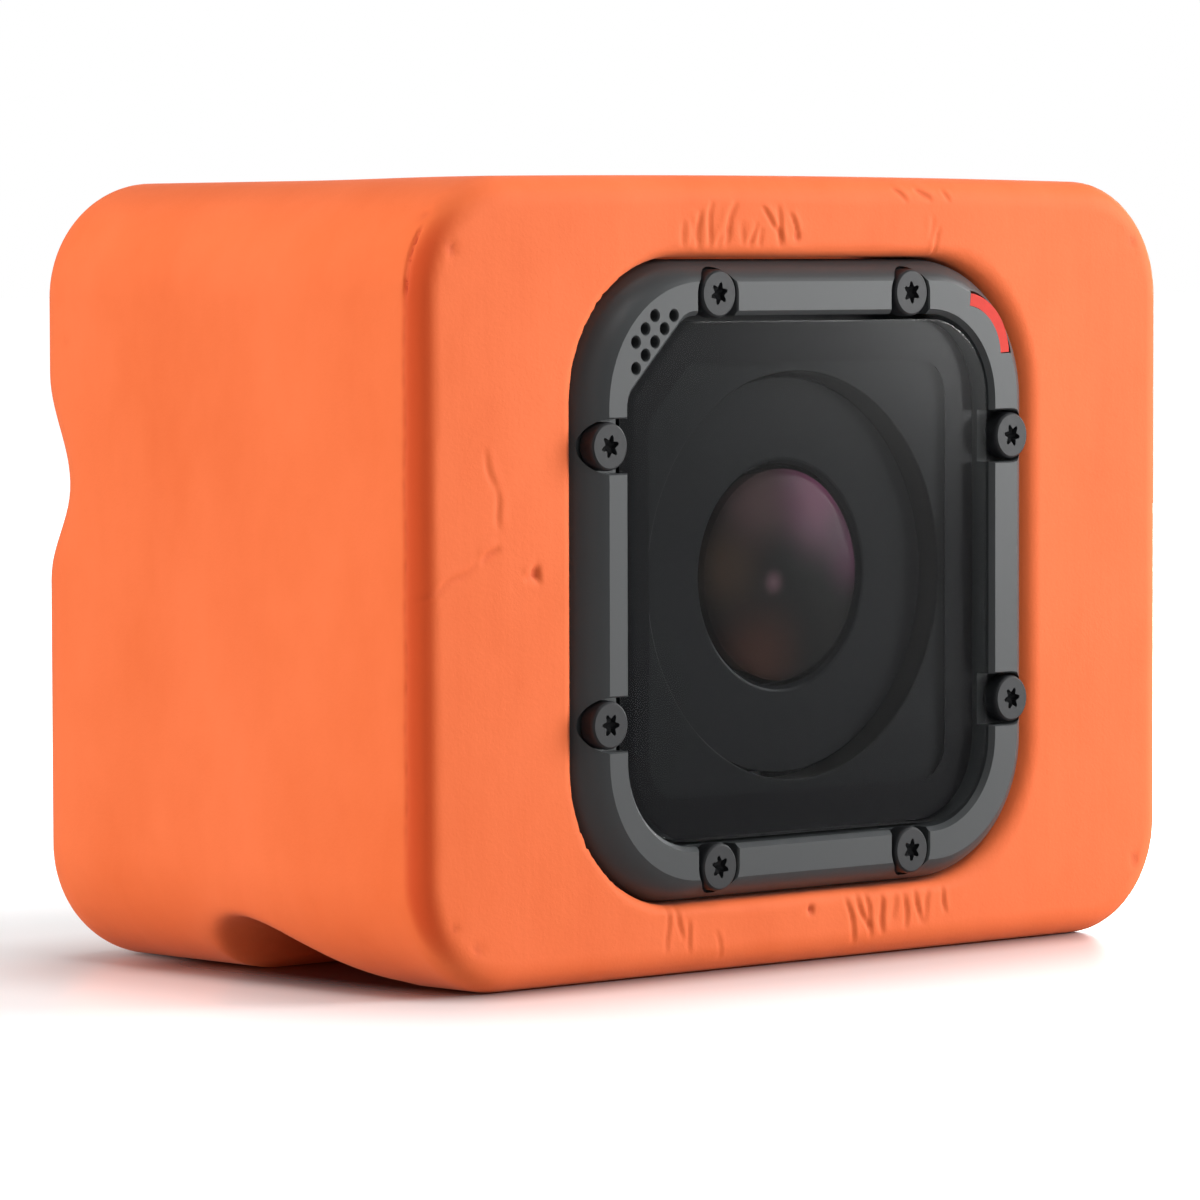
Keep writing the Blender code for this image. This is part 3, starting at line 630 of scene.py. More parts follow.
def foam_distance(points):
    """Signed distance to the float's surface, without its marks. Points are in the part's millimetres."""
    x, y, z = points.T
    middle = (FOAM_LOW + FOAM_HIGH) / 2
    half = (FOAM_HIGH - FOAM_LOW) / 2
    u, d, w = x - FACE[0], y - FACE[1], z - FACE[2]
    shifted = y + groove_depth(w) * ease((y - middle[1]) / (half[1] - 4.0))
    bow = 0.28 * np.clip(1 - (x / half[0]) ** 2, 0, 1) * ease((z - 36.0) / 8.0) * ease((middle[1] - y) / 14.0)
    section = rectangle(x, z - bow - middle[2], half[0], half[2], FOAM_CORNER)
    ends = np.abs(shifted - middle[1]) - half[1]
    fillet = np.where(y < middle[1], FRONT_FILLET, BACK_FILLET)
    body = round_both(section, ends, fillet)
    sleeve = rectangle(u, w, SLEEVE_HALF, SLEEVE_HALF, SLEEVE_CORNER)
    lip = 0.75 + 0.5 * ease((u - 9.0) / 9.0) - 0.35 * ease((-9.0 - u) / 9.0)
    body = round_both(body, -sleeve, lip)
    low, high = TOP_WINDOW
    top = rectangle(u, d - (low + high) / 2, TOP_WINDOW_HALF, (high - low) / 2, TOP_WINDOW_CORNER)
    body = round_both(body, -np.maximum(top, HALF - 5.0 - w), WINDOW_LIP)
    low, high = SIDE_WINDOW
    side = rectangle(d - (low + high) / 2, w, (high - low) / 2, SIDE_WINDOW_HALF, SIDE_WINDOW_CORNER)
    body = round_both(body, -np.maximum(side, HALF - 5.0 - u), WINDOW_LIP)
    step = 0.05
    height = channel_height(x, d)
    slope = (channel_height(x, d + step) - channel_height(x, d - step)) / (2 * step)
    channel = (z - height) / np.sqrt(1 + np.clip(slope, -6, 6) ** 2)
    return round_both(body, -channel, CHANNEL_LIP)


def gradient(field, points, step=0.02):
    """The field's slope at each point."""
    result = np.empty_like(points)
    for axis in range(3):
        shift = np.zeros(3)
        shift[axis] = step
        result[:, axis] = (field(points + shift) - field(points - shift)) / (2 * step)
    return result


def settle(field, points, rounds=5):
    """Moves points onto the field's surface."""
    for _ in range(rounds):
        slope = gradient(field, points)
        length = np.maximum((slope**2).sum(1), 0.05)
        move = (field(points) / length)[:, None] * slope
        size = np.linalg.norm(move, axis=1)
        points = points - move * np.minimum(1, 0.5 / np.maximum(size, 1e-9))[:, None]
    return points


def surface_net(field, axes):
    """A quad mesh of a field's surface on a grid: one point for each cell that the surface crosses."""
    grid = np.meshgrid(*axes, indexing="ij")
    shape = grid[0].shape
    values = field(np.stack([g.ravel() for g in grid], 1)).reshape(shape)
    inside = values < 0
    total = np.zeros((*[n - 1 for n in shape], 3))
    count = np.zeros([n - 1 for n in shape])
    crossings = []
    for axis in range(3):
        a = [slice(None)] * 3
        b = [slice(None)] * 3
        a[axis], b[axis] = slice(0, -1), slice(1, None)
        a, b = tuple(a), tuple(b)
        cross = np.argwhere(inside[a] != inside[b])
        first, second = values[a][tuple(cross.T)], values[b][tuple(cross.T)]
        place = np.stack([axes[k][cross[:, k]] for k in range(3)], 1)
        share = first / (first - second)
        place[:, axis] += share * (axes[axis][cross[:, axis] + 1] - axes[axis][cross[:, axis]])
        others = [k for k in range(3) if k != axis]
        for i in (0, 1):
            for j in (0, 1):
                cell = cross.copy()
                cell[:, others[0]] -= i
                cell[:, others[1]] -= j
                np.add.at(total, tuple(cell.T), place)
                np.add.at(count, tuple(cell.T), 1)
        crossings.append((axis, cross, inside[a][tuple(cross.T)]))
    used = count > 0
    index = np.full(count.shape, -1)
    index[used] = np.arange(used.sum())
    points = total[used] / count[used][:, None]
    faces = []
    for axis, cross, first_inside in crossings:
        others = [(axis + 1) % 3, (axis + 2) % 3]
        corners = []
        for i, j in ((1, 1), (0, 1), (0, 0), (1, 0)):
            cell = cross.copy()
            cell[:, others[0]] -= i
            cell[:, others[1]] -= j
            corners.append(index[tuple(cell.T)])
        quad = np.stack(corners, 1)
        quad[~first_inside] = quad[~first_inside][:, ::-1]
        faces.append(quad)
    return points, np.concatenate(faces)


def spaced(low, high, step, fine=(), fine_step=0.3):
    """Grid values from low to high, closer together inside the fine stretches."""
    values = [low]
    while values[-1] < high:
        here = values[-1]
        near = any(a - step <= here <= b for a, b in fine)
        values.append(here + (fine_step if near else step))
    return np.array(values)


def foam_marks(points):
    """(how far the skin is pushed in, how dark it is painted) for creases, pits and the moulding seam:
    painted shade in the creases and pits, and a darker line along the seam.
    """
    x, y, z = points.T
    u, d, w = x - FACE[0], y - FACE[1], z - FACE[2]
    push = np.zeros(len(x))
    dark = np.zeros(len(x))
    front = ease((FOAM_LOW[1] + 1.2 - y) / 0.6)
    left = ease((FOAM_LOW[0] + 2.4 - x) / 0.8)

    for x0, z0, x1, z1, width, depth, shade in (*CREASES_ABOVE, *CREASES_BELOW, *CREASES_LEFT):
        along = np.array([x1 - x0, z1 - z0])
        length = np.hypot(*along)
        along = along / length
        t = (u - x0) * along[0] + (w - z0) * along[1]
        side = (u - x0) * -along[1] + (w - z0) * along[0]
        side = side - 0.5 * width * np.sin(t * 2.3 + x0 * 5)
        taper = np.clip(1 - np.abs(2 * t / length - 1) ** 2.5, 0, 1) * ((t > 0) & (t < length))
        line = np.exp(-((side / width) ** 2))
        swell = np.exp(-(((side - 2.2 * width) / (1.6 * width)) ** 2))
        push += depth * (line - 0.4 * swell) * taper * front
        dark += shade * line * taper * front
    for across, up, size, depth, shade in FRONT_PITS:
        spot = np.exp(-(((u - across) / size) ** 2 + ((w - up) / (1.25 * size)) ** 2)) * front
        push += depth * spot
        dark += shade * spot
    for deep, up, size, depth, shade in LEFT_PITS:
        spot = np.exp(-(((d - deep) / size) ** 2 + ((z - up) / size) ** 2)) * left
        push += depth * spot
        dark += shade * spot
    wander = SEAM_DEPTH + 0.05 * np.sin(z * 0.9)
    line = np.exp(-(((d - wander) / 0.12) ** 2)) * left
    torn = ease((z - 40.0) / 1.0) * ease((44.6 - z) / 0.8)
    beat = 0.55 + 0.45 * np.sin(z * 4.1) * np.sin(z * 1.3)
    dotted = ease((z - 8.6) / 1.0) * ease((40.5 - z) / 1.0) * beat
    push += line * (0.22 * torn + 0.06 * dotted)
    dark += line * (0.8 * torn + 0.3 * dotted)
    return push, np.clip(dark, 0, 1)


# Marks in the face frame: (x, z at one end, x, z at the other, width, depth, painted shade in the crease)
CREASES_ABOVE = (
    (-10.2, 19.6, -10.1, 21.4, 0.16, 0.06, 0.06),
    (-9.5, 19.7, -9.4, 21.5, 0.16, 0.08, 0.08),
    (-9.0, 19.5, -8.8, 22.0, 0.20, 0.12, 0.12),
    (-8.1, 19.6, -7.8, 22.6, 0.17, 0.14, 0.16),
    (-7.3, 19.6, -6.7, 21.2, 0.18, 0.08, 0.10),
    (-6.8, 19.7, -5.8, 22.6, 0.20, 0.15, 0.18),
    (-5.3, 19.7, -5.2, 21.4, 0.20, 0.06, 0.05),
    (-4.7, 19.7, -4.1, 21.3, 0.17, 0.12, 0.14),
    (-4.0, 19.7, -3.5, 20.9, 0.17, 0.10, 0.10),
    (-3.7, 22.2, -2.3, 20.7, 0.13, 0.13, 0.20),
    (-2.4, 21.0, -2.1, 19.7, 0.15, 0.13, 0.16),
    (-2.4, 22.4, -1.8, 19.7, 0.15, 0.10, 0.12),
    (-1.3, 21.9, -0.6, 20.4, 0.13, 0.12, 0.20),
    (7.6, 23.3, 8.9, 22.5, 0.16, 0.10, 0.16),
    (9.6, 23.4, 11.0, 22.5, 0.18, 0.12, 0.20),
    (11.1, 19.2, 11.6, 21.1, 0.15, 0.11, 0.16),
    (10.7, 20.1, 11.1, 21.8, 0.18, 0.06, 0.06),
    (12.0, 23.3, 12.6, 22.5, 0.14, 0.08, 0.10),
)
CREASES_BELOW = (
    (-11.5, -19.0, -11.6, -22.1, 0.14, 0.08, 0.10),
    (-10.8, -19.2, -10.3, -21.4, 0.14, 0.09, 0.10),
    (-9.9, -20.0, -9.7, -22.2, 0.13, 0.09, 0.12),
    (-7.6, -20.8, -7.0, -22.7, 0.14, 0.06, 0.07),
    (3.4, -19.5, 4.3, -22.6, 0.15, 0.13, 0.14),
    (4.2, -19.5, 5.7, -22.4, 0.16, 0.13, 0.16),
    (5.0, -19.5, 5.7, -21.9, 0.16, 0.12, 0.12),
    (6.4, -19.6, 6.6, -22.2, 0.17, 0.15, 0.16),
    (7.6, -19.6, 7.5, -21.4, 0.20, 0.07, 0.05),
    (8.5, -19.6, 8.6, -22.0, 0.16, 0.12, 0.12),
    (9.4, -19.5, 9.9, -21.8, 0.15, 0.12, 0.12),
    (10.7, -19.5, 10.0, -21.8, 0.18, 0.08, 0.07),
    (11.8, -19.5, 12.1, -21.3, 0.14, 0.11, 0.14),
)
CREASES_LEFT = (
    (-31.0, -0.6, -26.2, 1.7, 0.17, 0.09, 0.12),
    (-26.3, 1.5, -24.8, 2.6, 0.20, 0.13, 0.22),
    (-26.1, 8.2, -25.1, 5.6, 0.20, 0.07, 0.06),
    (-25.1, 5.9, -24.8, 3.4, 0.20, 0.08, 0.10),
    (-23.0, 0.6, -21.8, 1.0, 0.20, 0.10, 0.12),
    (-22.0, 0.9, -21.5, 0.2, 0.16, 0.06, 0.10),
)
# Small pits in the face frame: (x, z, size, depth, painted shade in the pit)
FRONT_PITS = (
    (-22.0, 0.9, 0.30, 0.28, 0.62),
    (-0.7, 20.4, 0.20, 0.22, 0.62),
    (0.4, -20.2, 0.22, 0.22, 0.62),
    (-28.4, 19.7, 0.26, 0.16, 0.40),
    (29.1, 20.2, 0.28, 0.10, 0.30),
    (29.4, -19.0, 0.24, 0.14, 0.45),
    (-26.6, -20.7, 0.30, 0.10, 0.22),
    (-28.4, -19.4, 0.22, 0.12, 0.25),
)
# Pits on the left side: (distance behind the face, height above the base, size, depth, painted shade in the
# pit)
LEFT_PITS = (
    (2.4, 45.3, 0.34, 0.25, 0.60),
    (33.0, 37.8, 0.20, 0.08, 0.35),
    (28.6, 37.9, 0.16, 0.07, 0.25),
    (30.6, 32.0, 0.14, 0.06, 0.18),
)


def foam_field(points):
    """Signed distance to the float's surface with its marks pushed in."""
    push, _ = foam_marks(points)
    return foam_distance(points) + push


def refine(mesh, keep):
    """Divides the faces whose middles pass a test into smaller ones."""
    shape = bmesh.new()
    shape.from_mesh(mesh)
    chosen = [f for f in shape.faces if keep(f.calc_center_median())]
    edges = list({e for f in chosen for e in f.edges})
    bmesh.ops.subdivide_edges(shape, edges=edges, cuts=2, use_grid_fill=True)
    shape.to_mesh(mesh)
    shape.free()


def marked_area(middle):
    """True on the front's creased strips, the low left marks and the seam."""
    u, y, w = middle.x / MM - FACE[0], middle.y / MM, middle.z / MM - FACE[2]
    on_front = y < FOAM_LOW[1] + 0.8
    above = 19.3 < w < 23.6 and (-10.8 < u < -0.1 or 7.2 < u < 12.9)
    below = -22.9 < w < -19.2 and (-12.2 < u < -6.4 or 2.9 < u < 12.7 or -0.2 < u < 1.0)
    low_left = -1.0 < w < 8.6 and -31.2 < u < -21.0
    seam = middle.x / MM < FOAM_LOW[0] + 2.6 and abs(y - FACE[1] - SEAM_DEPTH) < 0.4
    return (on_front and (above or below or low_left)) or seam


def foam_float():
    """The float: a surface net of its distance field, finer where it curves and where it is marked."""
    low, high = FOAM_LOW - 0.9, FOAM_HIGH + 0.9
    front, back = FOAM_LOW[1], FOAM_HIGH[1]
    axes = (
        spaced(low[0], high[0], 0.5, [(low[0], low[0] + 3.0), (high[0] - 3.0, high[0])], 0.35),
        spaced(low[1], high[1], 0.7, [(low[1], front + 2.4), (back - 4.2, high[1])], 0.3),
        spaced(low[2], high[2], 0.5, [(low[2], low[2] + 5.0), (high[2] - 5.0, high[2])], 0.35),
    )
    points, faces = surface_net(foam_distance, axes)
    points = settle(foam_distance, points)
    mesh = mesh_from("foam_float", points * MM, faces.tolist())
    refine(mesh, marked_area)
    count = len(mesh.vertices)
    flat = np.empty(count * 3)
    mesh.vertices.foreach_get("co", flat)
    points = settle(foam_field, flat.reshape(-1, 3) / MM, 4)
    mesh.vertices.foreach_set("co", (points * MM).ravel())
    _, dark = foam_marks(points)
    # Painted shade: a darker band down the float's front left corner, stored as the 'edge' attribute
    slope = gradient(foam_distance, points)
    slope /= np.linalg.norm(slope, axis=1)[:, None]
    corner = -(slope[:, 0] + slope[:, 1]) / math.sqrt(2) * (points[:, 0] < FOAM_LOW[0] + 9)
    edge = ease((corner - 0.78) / 0.2)
    # The first attribute holds painted shade in creases and pits and the seam's darker line
    for name, amount in (("crease_shade_and_seam", dark), ("edge", edge)):
        values = mesh.attributes.new(name, "FLOAT", "POINT")
        values.data.foreach_set("value", amount.astype(np.float32))
    mesh.update()
    made = add_piece("foam_float", mesh, FOAM, "float", ["float_body"])


# ---------------------------------------------------------------- the camera's front

# The bezel's flat face ends at these distances from its middle
FLAT_LEFT = -17.0
FLAT_RIGHT = 17.55
FLAT_HALF = 17.7
FLAT_CORNER = 7.4
BEZEL_CORNER = 8.5

# The shoulder falls this far, and its arc starts and ends at these angles
SHOULDER = 1.85
SHOULDER_ANGLES = (20, 88)
SHOULDER_STEPS = 14
RING_POINTS = 480

SCREW_NEAR = 8.14
SCREW_FAR = 17.0
NOTCH_RADIUS = 1.6
NOTCH_FLOOR = 1.3
LIGHT_CENTRE = (13.0, 13.1)
LIGHT_RADII = (3.1, 3.85)
LIGHT_ANGLES = (3.0, 83.0)


def screw_places():
    """The middles of the eight front screws, clockwise from the upper left one."""
    near, far = SCREW_NEAR, SCREW_FAR
    return [
        (-near, far),
        (near, far),
        (far, near),
        (far, -near),
        (near, -far),
        (-near, -far),
        (-far, -near),
        (-far, near),
    ]


def resampled(outline, count=240):
    """An outline's points spread evenly by angle round the middle, so that two outlines can be joined."""
    closed = np.array([*outline, outline[0]])
    wanted = np.arange(count) * 2 * math.pi / count
    dense = np.linspace(0, len(closed) - 1, 8 * len(closed))[:-1]
    place = np.arange(len(closed))
    x = np.interp(dense, place, closed[:, 0])
    z = np.interp(dense, place, closed[:, 1])
    turn = np.arctan2(z, x)
    turned_x = np.interp(wanted, turn, x, period=2 * math.pi)
    turned_z = np.interp(wanted, turn, z, period=2 * math.pi)
    return list(zip(turned_x, turned_z))


def outer_outline(inset):
    """The bezel's outer outline moved in."""
    return square_outline(HALF - inset, BEZEL_CORNER - inset, 24)


def flat_outline():
    """The edge of the bezel's flat face, where its shoulder starts to fall away."""
    left, right, half = FLAT_LEFT, FLAT_RIGHT, FLAT_HALF
    corners = [(right, -half), (right, half), (left, half), (left, -half)]
    return rounded(corners, [FLAT_CORNER] * 4, 24)


def light_outline(inner_gap, outer_gap, end_gap, steps=24):
    """The arc of the light strip round the upper right corner, made wider by the gaps."""
    inner, outer = LIGHT_RADII
    low, high = LIGHT_ANGLES
    sweep = high - low + 2 * end_gap
    angles = [math.radians(low - end_gap + sweep * i / steps) for i in range(steps + 1)]
    x, z = LIGHT_CENTRE
    near = [(x + (inner - inner_gap) * math.cos(a), z + (inner - inner_gap) * math.sin(a)) for a in angles]
    far = [(x + (outer + outer_gap) * math.cos(a), z + (outer + outer_gap) * math.sin(a)) for a in angles]
    return near + far[::-1]


def notch_outline(x, z, radius):
    """A round-ended slot from a screw towards the window."""
    inward = np.array([-np.sign(x), 0.0]) if abs(x) > abs(z) else np.array([0.0, -np.sign(z)])
    across = np.array([-inward[1], inward[0]])
    outline = []
    for step in range(33):
        angle = math.pi * step / 32
        outline.append(np.array([x, z]) + radius * (across * math.cos(angle) - inward * math.sin(angle)))
    outline.append(np.array([x, z]) + inward * 3.0 - across * radius)
    outline.append(np.array([x, z]) + inward * 3.0 + across * radius)
    return outline


def notch_cutter(number, x, z):
    """The solid that cuts a screw's notch, flared where it meets the face."""
    levels = ((0.22, -1.0), (0.1, -0.02), (0.0, 0.1), (0.0, NOTCH_FLOOR))
    return loft(
        f"notch_{number}",
        [at_depth(notch_outline(x, z, NOTCH_RADIUS + wider), depth) for wider, depth in levels],
        caps=(True, True),
    )


MIC_ROW_START = (-14.85, 12.66)
MIC_STEP = 0.77


def mic_places():
    """The small holes at the upper left: a row of five and a row of three outside it."""
    x, z = MIC_ROW_START
    inner = [(x + MIC_STEP * i, z + MIC_STEP * i) for i in range(5)]
    outer = [(x + MIC_STEP * i, z + MIC_STEP * (i + 2)) for i in range(3)]
    return inner + outer


def bezel():
    """The grey frame: a flat ring with a rounded shoulder, notches, small holes and the light's slot."""
    flat = np.array(resampled(flat_outline(), RING_POINTS))
    rim = np.array(resampled(outer_outline(0.0), RING_POINTS))
    rings = [at_depth(flat + 0.008 * (np.array([0.4, 0.0]) - flat), 0.0), at_depth(flat, 0.0)]
    first, last = (math.radians(a) for a in SHOULDER_ANGLES)
    width = math.sin(last) - math.sin(first)
    for step in range(1, SHOULDER_STEPS + 1):
        angle = first + (last - first) * step / SHOULDER_STEPS
        share = (math.sin(angle) - math.sin(first)) / width
        depth = SHOULDER / width * (math.cos(first) - math.cos(angle))
        rings.append(at_depth(flat + share * (rim - flat), depth))
    rings.append(at_depth(rim, BEZEL_DEPTH))
    inner = [(-0.3, BEZEL_DEPTH), (-0.3, 0.3), (-0.56, 0.03), (-0.59, 0.0), (-0.7, 0.0)]
    for inset, depth in inner:
        rings.append(at_depth(resampled(window_outline(inset, 16), RING_POINTS), depth))
    ring = loft("bezel", rings, closed=True)
    cutters = [notch_cutter(i, x, z) for i, (x, z) in enumerate(screw_places())]
    for i, place in enumerate(screw_places()):
        cutters.append(prism(f"shank_{i}", circle(0.85, 24, place), 0.5, BEZEL_DEPTH + 1))
    for i, place in enumerate(mic_places()):
        cutters.append(turned(f"mic_{i}", [(0.4, -0.5), (0.4, 0.0), (0.33, 0.09), (0.33, 1.6)], 24, place))
    cutters.append(prism("light_slot", light_outline(0.03, 0.17, 1.0), -1.0, BEZEL_DEPTH + 1))
    pocket = diagonal_outline((-13.7, 14.6), 5.8, 2.0)
    cutters.append(prism("mic_pocket", pocket, 1.3, BEZEL_DEPTH + 1))
    mesh = carve(ring, cutters, BEZEL_SHARP_ANGLE)
    add_piece("bezel", mesh, GUNMETAL, "camera", ["front_bezel"])


def diagonal_outline(centre, length, width):
    """A rectangle turned to run along the rows of small holes."""
    along = np.array([1.0, 1.0]) / math.sqrt(2)
    across = np.array([-1.0, 1.0]) / math.sqrt(2)
    middle = np.array(centre)
    signs = [(-1, -1), (1, -1), (1, 1), (-1, 1)]
    return [tuple(middle + along * a * length / 2 + across * b * width / 2) for a, b in signs]


def front_screws():
    """Flat heads with a small chamfer and a six-pointed socket, each turned its own way."""
    head = [(0.0, -0.08), (1.28, -0.08), (1.38, 0.0), (1.43, 0.12), (1.44, 0.2), (1.44, 0.95)]
    shank = [(1.4, 1.0), (0.6, 1.0), (0.55, 1.1), (0.55, 5.9), (0.2, 6.3), (0.0, 6.3)]
    for number, (x, z) in enumerate(screw_places(), start=1):
        turn = math.radians(17 * number)
        star = []
        for point in range(36):
            angle = 2 * math.pi * point / 36
            radius = 0.55 + 0.15 * math.cos(6 * angle)
            star.append((x + radius * math.cos(angle + turn), z + radius * math.sin(angle + turn)))
        tip = [(x + (a - x) * 0.1, z + (b - z) * 0.1) for a, b in star]
        levels = [at_depth(star, -1.0), at_depth(star, 0.3), at_depth(tip, 0.5)]
        socket = loft("star", levels, caps=(True, True))
        body = carve(turned("screw", head + shank, 64, (x, z)), [socket], SHARP_ANGLE)
        add_piece(f"screw_{number}", body, SCREW, "camera", [f"front_screw_{number}"])


def window_pieces():
    """The clear window with its bevelled edge, and the black border printed on its back."""
    levels = [(0.12, 0.15), (0.03, 0.18), (0.0, 0.27), (0.0, 1.25), (0.1, 1.35)]
    glass = plate("window", window_outline, levels)
    add_piece("window", glass, WINDOW, "camera", ["window_glass"])

    x, z, cut = 12.55, 12.9, 3.4
    corners = [(x, -z), (x, z), (-x + cut, z), (-x, z - cut), (-x, -z)]
    opening = resampled(rounded(corners, [2.2, 2.2, 1.0, 1.0, 2.2], 12))
    edge = resampled(window_outline(0.05))
    front, back = 1.38, 1.44
    rings = [at_depth(edge, front), at_depth(edge, back), at_depth(opening, back), at_depth(opening, front)]
    border = loft("window_border", rings, closed=True)
    add_piece("window_border", border, MASK, "camera")


SURROUND_DEPTH = 1.72
OPENING_RADIUS = 12.3


def lens_area():
    """The square frame with its round opening, the black disc, and the domed lens."""
    frame_levels = [(1.7, SURROUND_DEPTH), (1.7, 2.55), (0.4, 2.6), (0.4, 3.8)]
    hole_levels = [(0.0, 3.8), (0.0, 1.8), (0.04, 1.74), (0.08, SURROUND_DEPTH)]
    rings = [at_depth(resampled(window_outline(inset)), depth) for inset, depth in frame_levels]
    for wider, depth in hole_levels:
        rings.append(at_depth(resampled(circle(OPENING_RADIUS + wider, 120)), depth))
    surround = loft("surround", rings, closed=True)
    made = add_piece("surround", surround, DARK, "camera", ["lens_surround"])

    # The opening's wall has a duller black than the frame round it
    made.data.materials.append(WALL_BLACK)
    for face in made.data.polygons:
        radial = math.hypot(face.center.x / MM - FACE[0], face.center.z / MM - FACE[2])
        on_wall = OPENING_RADIUS - 0.1 < radial < OPENING_RADIUS + 0.19
        if on_wall and face.center.y / MM - FACE[1] < 3.6:
            face.material_index = 1

    profile = [(11.9, 3.0), (12.0, 3.1), (12.0, 4.4), (6.75, 4.4), (6.75, 3.3), (6.95, 3.05), (7.1, 3.0)]
    disc = turned("lens_disc", profile, 128, closed=True)
    add_piece("lens_disc", disc, DARK, "camera", ["lens_baffle"])

    angles = [math.radians(a) for a in range(0, 90, 6)]
    dome = [(6.3 * math.sin(a), 3.05 - 0.95 * math.cos(a)) for a in angles]
    back = [(6.4, 3.1), (6.4, 7.7), (4.6, 7.7), (4.0, 6.6), (2.4, 5.6), (0.0, 5.2)]
    lens = turned("front_element", dome + back, 128)
    add_piece("front_element", lens, LENS, "camera", ["front_lens"])


def light():
    """The red light strip in its slot round the upper right corner."""
    strip = prism("light_guide", light_outline(0.0, 0.0, 0.0), 0.04, 1.5)
    add_piece("light_guide", strip, RED, "camera", ["light_strip"])


# ---------------------------------------------------------------- stage, light and camera

# Degrees of turn, tilt and roll, and the place of the view from the middle of the camera's face
VIEW_ANGLES = (43.01, 2.919, -0.151)
VIEW_PLACE = (-276.45, -277.29, 18.56)
VIEW_LENS = 195.6


def camera():
    """The view: its place, its turn, tilt and roll, and a long lens."""
    yaw, pitch, roll = (math.radians(a) for a in VIEW_ANGLES)
    place = Vector(FACE) + Vector(VIEW_PLACE)
    ahead = Vector((math.sin(yaw) * math.cos(pitch), math.cos(yaw) * math.cos(pitch), -math.sin(pitch)))
    right = ahead.cross(Vector((0, 0, 1))).normalized()
    up = right.cross(ahead)
    across = math.cos(roll) * right + math.sin(roll) * up
    upward = -math.sin(roll) * right + math.cos(roll) * up
    made = bpy.data.cameras.new("camera")
    made.sensor_width = 36.0
    made.lens = VIEW_LENS
    made.clip_start = 0.01
    made.clip_end = 20.0
    holder = bpy.data.objects.new("camera", made)
    turn = Matrix((across, upward, -ahead)).transposed()
    holder.matrix_world = Matrix.Translation(place * MM) @ turn.to_4x4()
    bpy.context.scene.collection.objects.link(holder)
    bpy.context.scene.camera = holder


# The part's footprint on the floor, in metres, for the painted contact shadow; made smaller than the part so
# that the shadow's edges fade under it
FOOTPRINT_MIDDLE = (-0.002, -0.003, 0.0)
FOOTPRINT_HALF = (0.023, 0.010, 0.0)


def floor():
    """A white floor that glows to pure white further out, with a dark reddish painted contact shadow right
    round the footprint.
    """
    bpy.ops.mesh.primitive_plane_add(size=14.0)
    made = bpy.context.object
    made.name = "studio_floor"
    finish, shader = new_material("floor_white")
    put(shader, base_color=(0.90, 0.90, 0.90), specular_ior_level=0.35, emission_color=(1.0, 1.0, 1.0))
    haze = noise(finish, 3.0)
    link(finish, spread(finish, haze, 0.22, 0.28), shader.inputs["Roughness"])

    place = add_node(finish, "ShaderNodeTexCoord").outputs["Object"]
    moved = vector_maths(finish, "SUBTRACT", place, FOOTPRINT_MIDDLE)
    folded = vector_maths(finish, "ABSOLUTE", moved)
    outside = vector_maths(finish, "SUBTRACT", folded, FOOTPRINT_HALF)
    positive = vector_maths(finish, "MAXIMUM", outside, (0.0, 0.0, 0.0))
    distance = vector_maths(finish, "LENGTH", positive)

    # Painted shadow: the glow falls away close to the footprint
    near = fade(finish, distance, 0.004, 0.022, high=0.36)
    far = fade(finish, distance, 0.01, 0.085, high=0.64)
    link(finish, maths(finish, "ADD", near, far), shader.inputs["Emission Strength"])
    # Painted shadow: the colour turns dark red right round the footprint
    outside_painted_shadow = fade(finish, distance, 0.001, 0.009)
    shadow_tone = mix(finish, outside_painted_shadow, (0.03, 0.012, 0.012), (0.90, 0.89, 0.89))
    link(finish, shadow_tone, shader.inputs["Base Color"])

    # Only the view sees the glow: the part is lit by a plain grey floor
    dim = add_node(finish, "ShaderNodeBsdfDiffuse", Color=(0.50, 0.50, 0.50, 1.0))
    path = add_node(finish, "ShaderNodeLightPath")
    seen = mix_shaders(finish, path.outputs["Is Camera Ray"], dim.outputs["BSDF"], shader.outputs["BSDF"])
    link(finish, seen, finish.node_tree.nodes["Material Output"].inputs["Surface"])
    made.data.materials.append(finish)


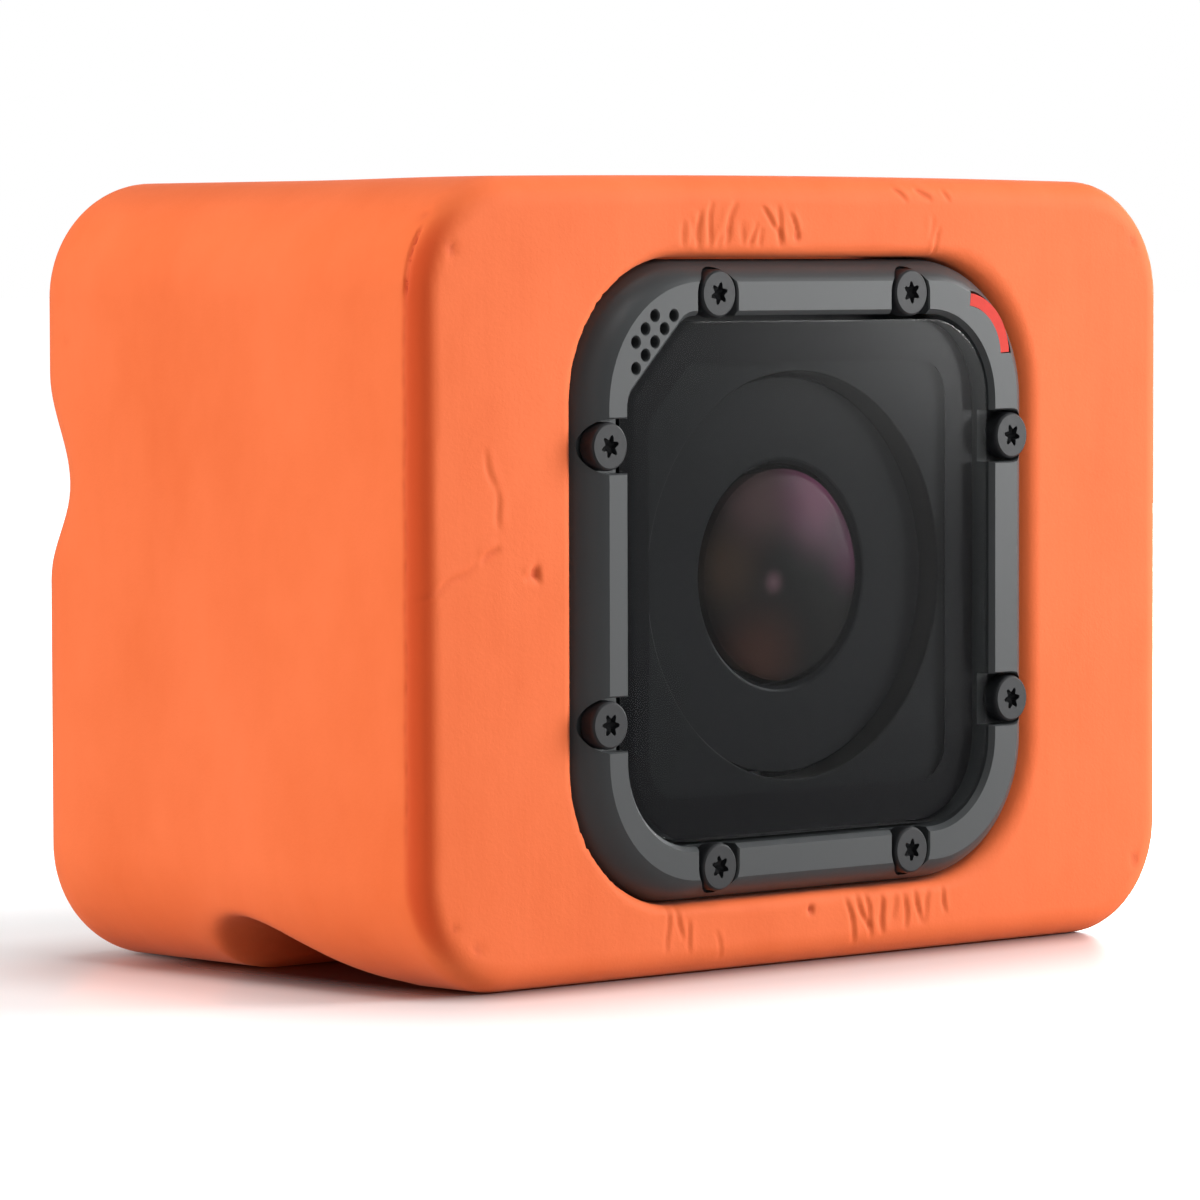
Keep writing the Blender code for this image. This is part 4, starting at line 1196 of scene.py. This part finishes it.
def area_light(name, place, target, size, power):
    """A soft box in metres and watts, aimed at a target and not seen itself."""
    made = bpy.data.lights.new(name, "AREA")
    made.shape = "RECTANGLE"
    made.size, made.size_y = size
    made.energy = power
    made.color = (1.0, 1.0, 1.0)
    holder = bpy.data.objects.new(name, made)
    holder.location = place
    aim = Vector(target) - Vector(place)
    holder.rotation_euler = aim.to_track_quat("-Z", "Y").to_euler()
    holder.visible_camera = False
    bpy.context.scene.collection.objects.link(holder)


MIDDLE = (0.0, 0.0, 0.025)

# (name, place, target, size, power) of each soft box
SOFT_BOXES = (
    ("left_box", (-0.76, 0.24, 0.24), MIDDLE, (0.5, 0.5), 5.8),
    ("right_box", (0.372, -0.222, 0.150), (0.0, 0.0, 0.023), (0.2, 0.25), 2.6),
    ("front_box", (-0.30, -0.50, 0.16), MIDDLE, (0.15, 0.45), 0.35),
    ("high_box", (-0.05, -0.50, 0.56), MIDDLE, (0.14, 0.14), 0.8),
    ("sheen_box", (0.352, -0.312, 0.056), (0.0, -0.018, 0.035), (0.05, 0.05), 0.17),
    ("rim_box", (0.64, 0.36, 0.10), MIDDLE, (0.3, 0.3), 3.0),
    ("top_box", (0.0, 0.08, 0.8), MIDDLE, (0.5, 0.5), 2.1),
)


def lights():
    """The soft boxes, and a white backdrop that adds only a little light of its own."""
    for soft_box in SOFT_BOXES:
        area_light(*soft_box)
    world = bpy.data.worlds.new("studio")
    bpy.context.scene.world = world
    world.use_nodes = True
    background = world.node_tree.nodes["Background"]
    background.inputs["Color"].default_value = (1.0, 1.0, 1.0, 1.0)
    background.inputs["Strength"].default_value = 0.10
    backdrop = add_node(world, "ShaderNodeBackground", Color=(1.0, 1.0, 1.0, 1.0), Strength=1.0)
    path = add_node(world, "ShaderNodeLightPath")
    seen = mix_shaders(
        world, path.outputs["Is Camera Ray"], background.outputs["Background"], backdrop.outputs["Background"]
    )
    link(world, seen, world.node_tree.nodes["World Output"].inputs["Surface"])
    bpy.context.scene.view_settings.view_transform = "Standard"


camera()
floor()
lights()
finish_cad_nodes()
foam_float()
bezel()
front_screws()
window_pieces()
lens_area()
light()
